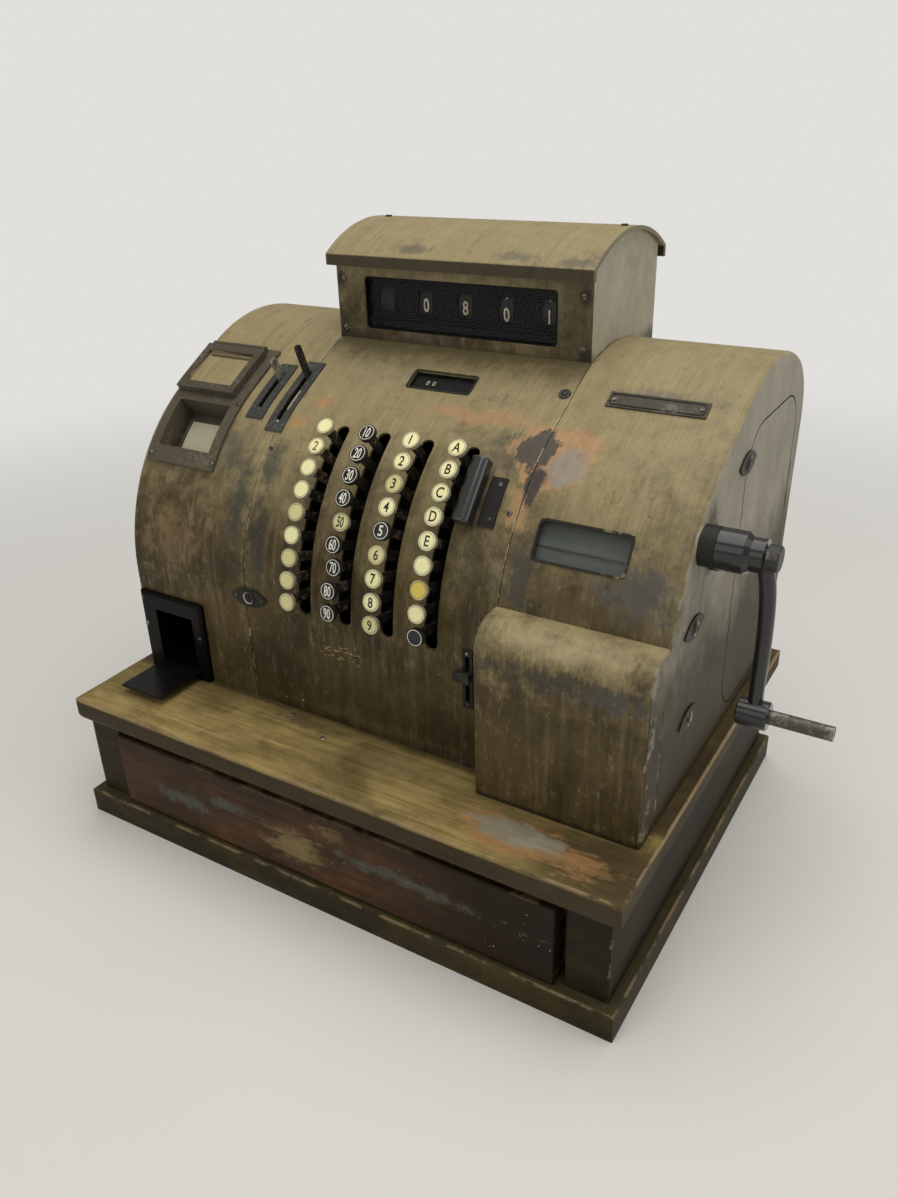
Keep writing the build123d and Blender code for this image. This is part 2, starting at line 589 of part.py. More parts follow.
def arch_face(radius, y_low, y_high, bottom):
    """Arched end of the indicator: straight sides under an arc about the hood's centre."""
    z_low = HOOD_CENTRE_Z + (radius**2 - (HOOD_MID - y_low) ** 2) ** 0.5
    z_high = HOOD_CENTRE_Z + (radius**2 - (HOOD_MID - y_high) ** 2) ** 0.5
    with BuildSketch() as section:
        with BuildLine():
            Polyline((y_high, z_high), (y_high, bottom), (y_low, bottom), (y_low, z_low))
            ThreePointArc((y_low, z_low), (HOOD_MID, HOOD_CENTRE_Z + radius), (y_high, z_high))
        make_face()
    return section.sketch


HOUSING_WIDTH = HOUSING_X[1] - HOUSING_X[0]
HOUSING_LOW = COVER_TOP - HOUSING_LAP
ROOF_UNDER = HOOD_RADIUS - HOOD_THICK - SEAT_CLEAR
with BuildPart() as indicator_housing:
    with BuildSketch(Plane.YZ.offset(HOUSING_X[0])):
        add(arch_face(ROOF_UNDER, HOUSING_FRONT, HOUSING_BACK, HOUSING_LOW))
    extrude(amount=HOUSING_WIDTH)
    with BuildSketch(Plane.YZ.offset(HOUSING_X[0] + SHEET)):
        add(arch_face(ROOF_UNDER + SHEET, HOUSING_FRONT + SHEET, HOUSING_BACK - SHEET, HOUSING_LOW - SHEET))
    extrude(amount=HOUSING_WIDTH - 2 * SHEET, mode=Mode.SUBTRACT)
    with BuildSketch(Plane.XZ.offset(-HOUSING_FRONT - 2 * SHEET)):
        window_mid = ((DISPLAY_WINDOW[0] + DISPLAY_WINDOW[1]) / 2, (DISPLAY_WINDOW[2] + DISPLAY_WINDOW[3]) / 2)
        with Locations(window_mid):
            RectangleRounded(DISPLAY_WINDOW[1] - DISPLAY_WINDOW[0], DISPLAY_WINDOW[3] - DISPLAY_WINDOW[2], DISPLAY_ROUND)
    extrude(amount=4 * SHEET, mode=Mode.SUBTRACT)
    add(cover_block(-CASE_HALF, CASE_HALF, -SEAT_CLEAR, BOARD_TOP), mode=Mode.SUBTRACT)
save(indicator_housing.part, "indicator_housing")

with BuildPart() as indicator_hood:
    with BuildSketch(Plane.YZ.offset(HOUSING_X[0] - HOOD_END)):
        add(arch_face(HOOD_RADIUS, HOOD_FRONT, HOOD_BACK, HOOD_EAVE - HOOD_LIP))
        hood_inner = arch_face(
            HOOD_RADIUS - HOOD_THICK, HOOD_FRONT + HOOD_THICK, HOOD_BACK - HOOD_THICK, HOOD_EAVE - 2 * HOOD_LIP
        )
        add(hood_inner, mode=Mode.SUBTRACT)
    extrude(amount=HOUSING_WIDTH + 2 * HOOD_END)
save(indicator_hood.part, "indicator_hood")

WHEEL_Y = HOUSING_FRONT + SHEET + GLASS_THICK + WHEEL_FRONT_GAP + WHEEL_RADIUS
WHEEL_Z = (DISPLAY_WINDOW[2] + DISPLAY_WINDOW[3]) / 2
with BuildPart() as indicator_wheels:
    for wheel in range(WHEEL_COUNT):
        wheel_x = WHEEL_CENTRE_X + WHEEL_PITCH * (wheel - (WHEEL_COUNT - 1) / 2)
        with BuildSketch(Plane.YZ.offset(wheel_x - WHEEL_WIDTH / 2)):
            with Locations((WHEEL_Y, WHEEL_Z)):
                Circle(WHEEL_RADIUS)
        extrude(amount=WHEEL_WIDTH)
    with BuildSketch(Plane.YZ.offset(HOUSING_X[0] + SHEET + RUN_CLEAR)):
        with Locations((WHEEL_Y, WHEEL_Z)):
            Circle(WHEEL_SHAFT)
    extrude(amount=HOUSING_WIDTH - 2 * SHEET - 2 * RUN_CLEAR)
save(indicator_wheels.part, "indicator_wheels")

# ---------------------------------------------------------------- glass panes behind the three windows


def pane_behind(window):
    """Glass that laps the back of a window cut in the covers."""
    lap = degrees(GLASS_LAP / BROW_RADIUS)
    base = -SHEET - SEAT_CLEAR - GLASS_THICK
    x_low = window[0] - GLASS_LAP
    x_high = window[1] + GLASS_LAP
    return skin_band(x_low, x_high, window[2] - lap, window[3] + lap, base, -SHEET - SEAT_CLEAR)


with BuildPart() as glass_panes:
    pane_width = DISPLAY_WINDOW[1] - DISPLAY_WINDOW[0] + 2 * GLASS_LAP
    pane_height = DISPLAY_WINDOW[3] - DISPLAY_WINDOW[2] + GLASS_LAP
    with Locations((window_mid[0], HOUSING_FRONT + SHEET + GLASS_THICK / 2, window_mid[1] + GLASS_LAP / 2)):
        Box(pane_width, GLASS_THICK, pane_height)
    add(pane_behind(PAPER_WINDOW))
    add(pane_behind(COUNTER_WINDOW))
save(glass_panes.part, "glass_panes")

# ---------------------------------------------------------------- slip window frame and lid
LID_BASE = SLIP_LIP + RUN_CLEAR
HINGE_LINE = roof_point(HINGE_ANGLE, LID_BASE + HINGE_LIFT)
HINGE_FOOT = roof_point(HINGE_ANGLE, (LID_BASE + HINGE_LIFT + SEAT_CLEAR) / 2)
POCKET_ANGLE = degrees(POCKET_LAP / BROW_RADIUS)
POCKET_X = (SLIP_WINDOW[0] + SLIP_FLOOR, SLIP_WINDOW[1] - SLIP_FLOOR)
POCKET_ANGLES = (SLIP_WINDOW[2] + POCKET_ANGLE, SLIP_WINDOW[3] - POCKET_ANGLE)
with BuildPart() as slip_frame:
    add(skin_band(*SLIP_FRAME, SEAT_CLEAR, SLIP_LIP))
    wall_angle = degrees(RUN_CLEAR / BROW_RADIUS)
    add(
        skin_band(
            SLIP_WINDOW[0] + RUN_CLEAR,
            SLIP_WINDOW[1] - RUN_CLEAR,
            SLIP_WINDOW[2] + wall_angle,
            SLIP_WINDOW[3] - wall_angle,
            -SLIP_DEPTH - SLIP_FLOOR,
            SLIP_LIP,
        )
    )
    add(skin_band(*POCKET_X, *POCKET_ANGLES, -SLIP_DEPTH, 2 * SLIP_LIP), mode=Mode.SUBTRACT)
    # hinge pin between two ears behind the lid
    for ear_x in (LID_SPAN[0] + HINGE_INSET - HINGE_EAR, LID_SPAN[1] - HINGE_INSET):
        with BuildSketch(Plane.YZ.offset(ear_x)):
            with Locations(HINGE_LINE):
                Circle(HINGE_BARREL)
            with Locations(Location((HINGE_FOOT[0], HINGE_FOOT[1]), ROOF_SLOPE)):
                Rectangle(2 * HINGE_BARREL, HINGE_LIFT + LID_BASE - SEAT_CLEAR)
        extrude(amount=HINGE_EAR)
    with BuildSketch(Plane.YZ.offset(LID_SPAN[0] + HINGE_INSET - HINGE_EAR)):
        with Locations(HINGE_LINE):
            Circle(HINGE_PIN)
    extrude(amount=LID_SPAN[1] - LID_SPAN[0] - 2 * HINGE_INSET + 2 * HINGE_EAR)
save(slip_frame.part, "slip_frame")

with BuildPart() as slip_lid:
    add(skin_band(*LID_SPAN, LID_BASE, LID_BASE + LID_THICK))
    border = degrees(LID_BORDER / BROW_RADIUS)
    lid_well = skin_band(
        LID_SPAN[0] + LID_BORDER,
        LID_SPAN[1] - LID_BORDER,
        LID_SPAN[2] + border,
        LID_SPAN[3] - border,
        LID_BASE + LID_THICK / 2,
        LID_BASE + 2 * LID_THICK,
    )
    add(lid_well, mode=Mode.SUBTRACT)
    with BuildSketch(Plane.YZ.offset(LID_SPAN[0] + HINGE_INSET + RUN_CLEAR)):
        with Locations(HINGE_LINE):
            Circle(HINGE_BARREL)
        web_y = HINGE_LINE[0] - HINGE_WEB / 2 * cos(radians(ROOF_SLOPE))
        web_z = HINGE_LINE[1] - HINGE_WEB / 2 * sin(radians(ROOF_SLOPE))
        with Locations(Location((web_y, web_z), ROOF_SLOPE)):
            Rectangle(HINGE_WEB, 1.5 * HINGE_BARREL)
    extrude(amount=LID_SPAN[1] - LID_SPAN[0] - 2 * HINGE_INSET - 2 * RUN_CLEAR)
    with BuildSketch(Plane.YZ.offset(LID_SPAN[0])):
        with Locations(HINGE_LINE):
            Circle(HINGE_PIN + SHAFT_FIT)
    extrude(amount=LID_SPAN[1] - LID_SPAN[0], mode=Mode.SUBTRACT)
save(slip_lid.part, "slip_lid")

# ---------------------------------------------------------------- receipt chute
with BuildPart() as receipt_chute:
    chute_height = CHUTE_TOP - BOARD_TOP
    with BuildSketch(Plane.XZ.offset(-CASE_FRONT + SEAT_CLEAR)):
        with Locations(((CHUTE_X[0] + CHUTE_X[1]) / 2, BOARD_TOP + chute_height / 2)):
            Rectangle(CHUTE_X[1] - CHUTE_X[0], chute_height)
    extrude(amount=CHUTE_PROUD)
    chamfer(receipt_chute.faces().sort_by(Axis.Y)[0].edges().group_by(Axis.Z)[1:], CHUTE_CHAMFER)
    mouth_width = CHUTE_MOUTH_X[1] - CHUTE_MOUTH_X[0]
    mouth_height = CHUTE_MOUTH_Z[1] - CHUTE_MOUTH_Z[0]
    mouth_z = (CHUTE_MOUTH_Z[0] + CHUTE_MOUTH_Z[1]) / 2
    with Locations((chute_mid, CASE_FRONT + CHUTE_DEPTH / 2 - SEAT_CLEAR, mouth_z)):
        Box(mouth_width + 2 * CHUTE_WALL, CHUTE_DEPTH, mouth_height + 2 * CHUTE_WALL)
    with Locations((chute_mid, CASE_FRONT, mouth_z)):
        Box(mouth_width, 4 * CHUTE_DEPTH, mouth_height, mode=Mode.SUBTRACT)
    # tear-off tray in front of the mouth, clear of the board
    tray_back = CASE_FRONT - SEAT_CLEAR
    tray_z = BOARD_TOP + CHUTE_TRAY_LIFT
    with Locations((chute_mid, tray_back - CHUTE_TRAY_REACH / 2, tray_z + CHUTE_TRAY_THICK / 2)):
        Box(mouth_width + 2 * CHUTE_WALL, CHUTE_TRAY_REACH, CHUTE_TRAY_THICK)
save(receipt_chute.part, "receipt_chute")

# ---------------------------------------------------------------- plates screwed to the covers


def lemon_face(length, height, bore):
    """Escutcheon outline: two arcs meeting in blunt points, with a hole for the lock's ring."""
    with BuildSketch() as face:
        with BuildLine():
            ThreePointArc((-length / 2, 0), (0, height / 2), (length / 2, 0))
            ThreePointArc((length / 2, 0), (0, -height / 2), (-length / 2, 0))
        make_face()
        Circle(height * 0.42)
        Circle(bore, mode=Mode.SUBTRACT)
    return face.sketch


with BuildPart() as trim_plates:
    for lever_name in LEVERS:
        x, angle, travel, _ = LEVERS[lever_name]
        margin = PLATE_MARGIN + LEVER_HALF_ANGLE
        x_low = x - LEVER_PLATE_WIDTH / 2
        add(
            skin_band(
                x_low,
                x_low + LEVER_PLATE_WIDTH,
                angle - travel - margin,
                angle + margin,
                SEAT_CLEAR,
                LEVER_PLATE,
            )
        )
        add(lever_slot(lever_name), mode=Mode.SUBTRACT)
    add(skin_band(*NAMEPLATE, SEAT_CLEAR, NAMEPLATE_THICK))
    add(skin_band(*BRACKET, SEAT_CLEAR, BRACKET_THICK))
    with Locations((LATCH_X, CASE_FRONT - LEVER_PLATE / 2, LATCH_Z)):
        Box(LATCH_PLATE[0], LEVER_PLATE, LATCH_PLATE[1])
    add(LATCH_BOX, mode=Mode.SUBTRACT)
    with BuildSketch(Plane.XZ.offset(-CASE_FRONT + 2 * SEAT_CLEAR)):
        with Locations(FRONT_LOCK):
            add(lemon_face(ESCUTCHEON_LENGTH, ESCUTCHEON_HEIGHT, KEYWAY_RADIUS))
    extrude(amount=ESCUTCHEON_THICK)
    with BuildSketch(Plane.YZ.offset(CASE_HALF)):
        with Locations(*SIDE_LOCKS):
            add(lemon_face(ESCUTCHEON_LENGTH, ESCUTCHEON_HEIGHT, KEYWAY_RADIUS))
    extrude(amount=ESCUTCHEON_THICK)
save(trim_plates.part, "trim_plates")

# ---------------------------------------------------------------- key frame: guide plate, side plates, lever shaft
FRAME_LEFT = SEAM_LEFT + FRAME_GAP
FRAME_RIGHT = SEAM_RIGHT - FRAME_GAP
SHAFT_END = SHORT_LEVER_X - SHAFT_TAIL
with BuildPart() as key_frame:
    with BuildSketch(Plane.YZ.offset(FRAME_LEFT)):
        with Locations((BROW_Y, BROW_Z)):
            Circle(GUIDE_RADIUS)
            Circle(GUIDE_RADIUS - GUIDE_THICK, mode=Mode.SUBTRACT)
        add(wedge_face(GUIDE_LOW, GUIDE_TOP), mode=Mode.INTERSECT)
    extrude(amount=FRAME_RIGHT - FRAME_LEFT)
    for plate_x in (FRAME_LEFT, FRAME_RIGHT - FRAME_PLATE):
        with BuildSketch(Plane.YZ.offset(plate_x)):
            with Locations((BROW_Y, BROW_Z)):
                Circle(GUIDE_RADIUS)
            add(wedge_face(GUIDE_LOW, GUIDE_TOP), mode=Mode.INTERSECT)
            with BuildLine():
                Polyline(
                    (BROW_Y - GUIDE_RADIUS + GUIDE_THICK, BROW_Z),
                    (BROW_Y + FRAME_HEEL, BROW_Z),
                    (BROW_Y + FRAME_HEEL, BOARD_TOP),
                    (BROW_Y - GUIDE_RADIUS + GUIDE_THICK, BOARD_TOP),
                    close=True,
                )
            make_face()
            with Locations((BROW_Y, BROW_Z)):
                Circle(4 * SHAFT_RADIUS)
        extrude(amount=FRAME_PLATE)
    with BuildSketch(Plane.YZ.offset(SHAFT_END)):
        with Locations((BROW_Y, BROW_Z)):
            Circle(SHAFT_RADIUS)
    extrude(amount=FRAME_RIGHT - SHAFT_END)
    with BuildSketch(Plane.YZ.offset(SHAFT_END)):
        with Locations((BROW_Y, (BROW_Z + 2 * SHAFT_RADIUS + BOARD_TOP) / 2)):
            Rectangle(4 * SHAFT_RADIUS, BROW_Z + 2 * SHAFT_RADIUS - BOARD_TOP)
    extrude(amount=FRAME_PLATE)
    for x in COLUMN_X:
        with Locations(*[skin_plane(x, angle, GUIDE_RADIUS - BROW_RADIUS) for angle in KEY_ANGLES]):
            Box(KEY_STEM[0] + 2 * RUN_CLEAR, KEY_STEM[1] + 2 * RUN_CLEAR, 6 * GUIDE_THICK, mode=Mode.SUBTRACT)
    with Locations(skin_plane(BAR_X, BAR_ANGLE, GUIDE_RADIUS - BROW_RADIUS)):
        with GridLocations(1, BAR_STEM_PITCH, 1, 2):
            Box(BAR_STEM[0] + 2 * RUN_CLEAR, BAR_STEM[1] + 2 * RUN_CLEAR, 8 * GUIDE_THICK, mode=Mode.SUBTRACT)
save(key_frame.part, "key_frame")

# ---------------------------------------------------------------- keys
STEM_LOW = GUIDE_RADIUS - BROW_RADIUS - GUIDE_THICK - STEM_END
for column, x in enumerate(COLUMN_X):
    for row, angle in enumerate(KEY_ANGLES):
        sunk = KEY_LATCHED.get((column, row), 0.0)
        seat = skin_plane(x, angle, -sunk)
        face = seat.offset(KEY_LIFT)
        with BuildPart() as key:
            with BuildSketch(seat.offset(KEY_LIFT - KEY_CAP_THICK)):
                Circle(KEY_CAP_RADIUS)
            extrude(amount=KEY_CAP_THICK)
            with BuildSketch(face):
                Circle(KEY_CAP_RADIUS - KEY_RIM)
            extrude(amount=-KEY_DISH, mode=Mode.SUBTRACT)
            with BuildSketch(seat.offset(STEM_LOW)):
                Rectangle(KEY_STEM[0], KEY_STEM[1])
            extrude(amount=KEY_LIFT - KEY_CAP_THICK - STEM_LOW)
        save(key.part, f"key_{column + 1}_{row + 1}")

# ---------------------------------------------------------------- levers on the cross shaft
for lever_name in LEVERS:
    x, angle, _, reach = LEVERS[lever_name]
    blade = Plane(
        origin=(x, BROW_Y, BROW_Z),
        x_dir=(0, -cos(radians(angle)), sin(radians(angle))),
        z_dir=(1, 0, 0),
    )
    with BuildPart() as lever:
        with BuildSketch(blade.offset(-LEVER_THICK / 2)):
            with Locations((reach / 2, 0)):
                Rectangle(reach, LEVER_WIDTH)
            Circle(LEVER_HUB)
            with Locations((reach, 0)):
                Circle(LEVER_WIDTH / 2)
            Circle(SHAFT_RADIUS + SHAFT_FIT, mode=Mode.SUBTRACT)
        extrude(amount=LEVER_THICK)
    save(lever.part, lever_name)

# ---------------------------------------------------------------- release bar
bar_seat = skin_plane(BAR_X, BAR_ANGLE, BAR_STANDOFF)
with BuildPart() as release_bar:
    with BuildSketch(bar_seat):
        Rectangle(BAR_WIDTH, BAR_LENGTH)
    extrude(amount=BAR_HEIGHT)
    crown_edges = release_bar.faces().sort_by(Axis(bar_seat.origin, bar_seat.z_dir))[-1].edges()
    fillet(crown_edges.filter_by(Axis.X, reverse=True), BAR_ROUND)
    end_faces = release_bar.faces().sort_by(Axis(bar_seat.origin, bar_seat.y_dir))
    fillet(end_faces[0].edges().sort_by(Axis(bar_seat.origin, bar_seat.z_dir))[1:], BAR_END_ROUND)
    end_faces = release_bar.faces().sort_by(Axis(bar_seat.origin, bar_seat.y_dir))
    fillet(end_faces[-1].edges().sort_by(Axis(bar_seat.origin, bar_seat.z_dir))[1:], BAR_END_ROUND)
    with BuildSketch(bar_seat):
        with GridLocations(1, BAR_STEM_PITCH, 1, 2):
            Rectangle(BAR_STEM[0], BAR_STEM[1])
    extrude(amount=STEM_LOW - BAR_STANDOFF)
save(release_bar.part, "release_bar")

# ---------------------------------------------------------------- latch in its slot
latch_z = LATCH_Z + LATCH_REST
with BuildPart() as cover_latch:
    stem_out = CASE_FRONT - LEVER_PLATE - RUN_CLEAR
    stem_in = CASE_FRONT + SHEET + RUN_CLEAR
    with Locations((LATCH_X, (stem_out + stem_in) / 2, latch_z)):
        Box(LATCH_STEM[0], stem_in - stem_out, LATCH_STEM[1])
    with Locations((LATCH_X, stem_in + LATCH_FOOT[1] / 2, latch_z)):
        Box(*LATCH_FOOT)
    with Locations((LATCH_X - LATCH_KNOB[0] / 2 + LATCH_SLOT[0], stem_out - LATCH_KNOB[2] / 2, latch_z)):
        Box(LATCH_KNOB[0], LATCH_KNOB[2], LATCH_KNOB[1])
    fillet(cover_latch.edges().filter_by(Axis.Y).group_by(Axis.X)[0], LATCH_ROUND)
save(cover_latch.part, "cover_latch")

# ---------------------------------------------------------------- crank
CRANK_ROOT = CASE_HALF + BOSS_LENGTH + RUN_CLEAR
COLLAR_X = CRANK_ROOT + HUB_LENGTH
NUT_X = COLLAR_X + COLLAR_LENGTH
ARM_X = NUT_X + ARM_REACH
EYE_Z = CRANK_Z - CRANK_THROW
SHAFT_IN = BOSS_LENGTH - RUN_CLEAR       # how far the shaft reaches inside the cover
with BuildPart() as crank:
    # hub, collar and nut, turned about the shaft
    with BuildSketch(Plane.XZ.offset(-CRANK_Y)):
        with BuildLine():
            Polyline(
                (CASE_HALF - SHAFT_IN, CRANK_Z),
                (CASE_HALF - SHAFT_IN, CRANK_Z + CRANK_SHAFT),
                (CRANK_ROOT, CRANK_Z + CRANK_SHAFT),
                (CRANK_ROOT, CRANK_Z + HUB_RADIUS),
                (COLLAR_X - HUB_CONE, CRANK_Z + HUB_RADIUS),
                (COLLAR_X, CRANK_Z + COLLAR_RADIUS),
                (NUT_X - CAP_GROOVE, CRANK_Z + COLLAR_RADIUS),
                (NUT_X - CAP_GROOVE, CRANK_Z + CRANK_SHAFT),
                (NUT_X, CRANK_Z + CRANK_SHAFT),
                (NUT_X, CRANK_Z + NUT_RADIUS),
                (NUT_X + NUT_LENGTH - 1.0, CRANK_Z + NUT_RADIUS),
                (NUT_X + NUT_LENGTH, CRANK_Z + NUT_RADIUS - 1.0),
                (NUT_X + NUT_LENGTH, CRANK_Z),
                close=True,
            )
        make_face()
    revolve(axis=Axis((0, CRANK_Y, CRANK_Z), (1, 0, 0)))
    # arm: swings out from under the collar, then hangs to the eye and thins on the way
    with BuildLine() as arm_line:
        swing = Spline(
            (COLLAR_X + ARM_RADIUS, CRANK_Y, CRANK_Z),
            (ARM_X, CRANK_Y, CRANK_Z - ARM_BEND),
            (ARM_X, CRANK_Y, EYE_Z),
            tangents=((0.5, 0, -1), (0, 0, -1)),
        )
    with BuildSketch(Plane(origin=swing @ 0, z_dir=swing % 0)):
        Circle(ARM_RADIUS)
    with BuildSketch(Plane(origin=swing @ 1, z_dir=swing % 1)):
        Circle(ARM_FOOT_RADIUS)
    sweep(path=arm_line.line, multisection=True)
    with BuildSketch(Plane.YZ.offset(ARM_X - EYE_LENGTH / 2)):
        with Locations((CRANK_Y, EYE_Z)):
            Circle(EYE_RADIUS)
    extrude(amount=EYE_LENGTH)
    chamfer(crank.faces().filter_by(Axis.X).sort_by(Axis.Z)[:2].edges(), 1.0)
    with BuildSketch(Plane.YZ.offset(ARM_X + EYE_LENGTH / 2)):
        with Locations((CRANK_Y, EYE_Z)):
            Circle(GRIP_RADIUS)
    extrude(amount=GRIP_LENGTH - EYE_LENGTH / 2)
save(crank.part, "crank")
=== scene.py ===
import math

import bmesh
import bpy
from mathutils import Matrix, Vector


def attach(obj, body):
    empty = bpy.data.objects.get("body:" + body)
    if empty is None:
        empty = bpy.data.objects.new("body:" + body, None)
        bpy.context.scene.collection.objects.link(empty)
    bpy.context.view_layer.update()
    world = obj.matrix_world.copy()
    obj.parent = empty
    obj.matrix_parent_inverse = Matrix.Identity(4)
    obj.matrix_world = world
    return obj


# ---------------------------------------------------------------- viewpoint
# An old cash register seen from above its right front corner, from about a metre away. The
# camera was solved from the photograph, with the width of the base as its unit.
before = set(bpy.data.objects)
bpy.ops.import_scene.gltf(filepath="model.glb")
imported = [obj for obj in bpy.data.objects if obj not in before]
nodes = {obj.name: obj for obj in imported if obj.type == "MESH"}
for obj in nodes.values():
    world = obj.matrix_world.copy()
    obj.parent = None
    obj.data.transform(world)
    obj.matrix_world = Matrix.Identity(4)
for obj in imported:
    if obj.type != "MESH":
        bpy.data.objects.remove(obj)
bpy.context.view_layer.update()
MM = 0.001

lens = bpy.data.cameras.new("viewpoint")
lens.sensor_fit = "HORIZONTAL"
lens.sensor_width = 36.0
lens.lens = 39.79
lens.clip_start = 0.01
viewpoint = bpy.data.objects.new("viewpoint", lens)
bpy.context.scene.collection.objects.link(viewpoint)
heading = Matrix.Rotation(math.radians(32.014), 4, "Z")
tilt = Matrix.Rotation(math.radians(63.150), 4, "X")
roll = Matrix.Rotation(math.radians(-1.698), 4, "Z")
viewpoint.matrix_world = Matrix.Translation((0.4724, -0.7266, 0.6586)) @ heading @ tilt @ roll
bpy.context.scene.camera = viewpoint
bpy.context.scene.view_settings.view_transform = "Standard"

# ---------------------------------------------------------------- room
# A pale room: one broad lamp overhead, a softer one at the right, a weak one in front, and
# a plain floor that takes the shadow and passes into the pale air far from the till.


class Value:
    """An output of a node tree. Arithmetic on it adds Math nodes."""

    def __init__(self, tree, socket):
        self.tree = tree
        self.socket = socket

    def math(self, operation, *terms):
        return self.tree.value("ShaderNodeMath", {"operation": operation}, dict(enumerate(terms)))

    def __add__(self, other):
        return self.math("ADD", self, other)

    def __sub__(self, other):
        return self.math("SUBTRACT", self, other)

    def __rsub__(self, other):
        return self.math("SUBTRACT", other, self)

    def __mul__(self, other):
        return self.math("MULTIPLY", self, other)

    __radd__ = __add__
    __rmul__ = __mul__

    def __abs__(self):
        return self.math("ABSOLUTE", self)

    def most(self, other):
        return self.math("MAXIMUM", self, other)

    def least(self, other):
        return self.math("MINIMUM", self, other)

    def step(self, low, high):
        """0 below low and 1 above high, eased between them; low above high turns it round."""
        ends = {1: high, 2: low, 3: 1.0, 4: 0.0} if low > high else {1: low, 2: high}
        return self.tree.value("ShaderNodeMapRange", {"interpolation_type": "SMOOTHSTEP"}, {0: self, **ends})


class Tree:
    """A node tree and the methods that add to it."""

    def __init__(self, tree):
        self.tree = tree

    def feed(self, socket, value):
        """Links a value to a socket, or sets the socket to a constant."""
        if isinstance(value, Value):
            self.tree.links.new(value.socket, socket)
        elif socket.type == "RGBA" and len(value) == 3:
            socket.default_value = (*value, 1.0)
        else:
            socket.default_value = value

    def node(self, kind, settings=None, sockets=None):
        made = self.tree.nodes.new(kind)
        for key, setting in (settings or {}).items():
            setattr(made, key, setting)
        for key, value in (sockets or {}).items():
            self.feed(made.inputs[key], value)
        return made

    def value(self, kind, settings=None, sockets=None, output=0):
        """An output of a new node."""
        return Value(self, self.node(kind, settings, sockets).outputs[output])

    def vector(self, operation, sockets, output=0):
        return self.value("ShaderNodeVectorMath", {"operation": operation}, sockets, output)


class Finish(Tree):
    """A surface: one material, to which each call adds what a maker or the years put on it."""

    comb = (60, 60, 60)

    def __init__(self, name, **constants):
        self.material = bpy.data.materials.new(name)
        self.material.use_nodes = True
        super().__init__(self.material.node_tree)
        self.shader = self.tree.nodes["Principled BSDF"]
        for socket, value in constants.items():
            self.feed(self.shader.inputs[socket.replace("_", " ")], value)
        self.place = self.value("ShaderNodeTexCoord", output="Object")
        parts = self.node("ShaderNodeSeparateXYZ", {}, {0: self.place})
        self.x, self.y, self.z = (Value(self, parts.outputs[i]) for i in range(3))

    def noise(self, stretch, detail=4.0, rough=0.6, twist=0.0, shift=0.0):
        """Cloudy value from 0 to 1 with so many clouds to a metre along x, y and z."""
        moved = self.vector("MULTIPLY_ADD", {0: self.place, 1: stretch, 2: (shift, shift, shift)})
        sockets = {"Vector": moved, "Scale": 1.0, "Detail": detail, "Roughness": rough, "Distortion": twist}
        return self.value("ShaderNodeTexNoise", {}, sockets)

    def specks(self, scale, size, shift=0.0):
        """Small round marks: 1 in the mark."""
        moved = self.vector("ADD", {0: self.place, 1: (shift, shift, shift)})
        cells = self.value("ShaderNodeTexVoronoi", {}, {"Vector": moved, "Scale": scale})
        return cells.step(size, size * 0.7)

    def patch(self, centre, radii, ragged, soft, grain=(60, 60, 60)):
        """Ragged patch about a centre in millimetres: 1 inside."""
        shifted = self.vector("SUBTRACT", {0: self.place, 1: [MM * c for c in centre]})
        scaled = self.vector("MULTIPLY", {0: shifted, 1: [1 / (MM * r) for r in radii]})
        reach = self.vector("LENGTH", {0: scaled}, "Value") - 1.0
        reach = reach + (self.noise(grain, 6.0, 0.7, shift=centre[0]) - 0.5) * (3.6 * ragged)
        reach = reach + (self.noise(self.comb, 4.0, 0.7, shift=centre[1]) - 0.5) * (1.5 * ragged)
        return reach.step(0.0, -soft)

    def mix(self, share, under, over):
        """One colour laid over another by a share."""
        return self.value("ShaderNodeMix", {"data_type": "RGBA"}, {0: share, 6: under, 7: over}, 2)

    def shade(self, colour, factor):
        """Colour made lighter or darker by a factor that varies."""
        return self.vector("SCALE", {0: colour, "Scale": factor})

    def done(self, colour, roughness, metallic=None, height=None, depth=0.0004):
        """Feeds the shader; height is a relief of so many metres."""
        self.feed(self.shader.inputs["Base Color"], colour)
        self.feed(self.shader.inputs["Roughness"], roughness)
        if metallic is not None:
            self.feed(self.shader.inputs["Metallic"], metallic)
        if height is not None:
            relief = {"Height": height, "Strength": 0.6, "Distance": depth}
            self.feed(self.shader.inputs["Normal"], self.value("ShaderNodeBump", {}, relief))
        return self


TILL_MIDDLE = Vector((0.0, 0.0, 0.3))
LAMP_COLOUR = (1.0, 0.97, 0.92)
for lamp_name, place, size, watts in (
    ("overhead_lamp", (0.15, 0.05, 2.0), (2.2, 1.6), 25.0),
    ("right_lamp", (1.9, 0.3, 1.1), (1.2, 1.4), 6.5),
    ("front_lamp", (-0.5, -2.0, 1.3), (1.6, 1.2), 6.5),
):
    light = bpy.data.lights.new(lamp_name, "AREA")
    light.shape = "RECTANGLE"
    light.size, light.size_y = size
    light.energy = watts
    light.color = LAMP_COLOUR
    lamp = bpy.data.objects.new(lamp_name, light)
    lamp.location = place
    lamp.rotation_euler = (TILL_MIDDLE - Vector(place)).to_track_quat("-Z", "Y").to_euler()
    bpy.context.scene.collection.objects.link(lamp)

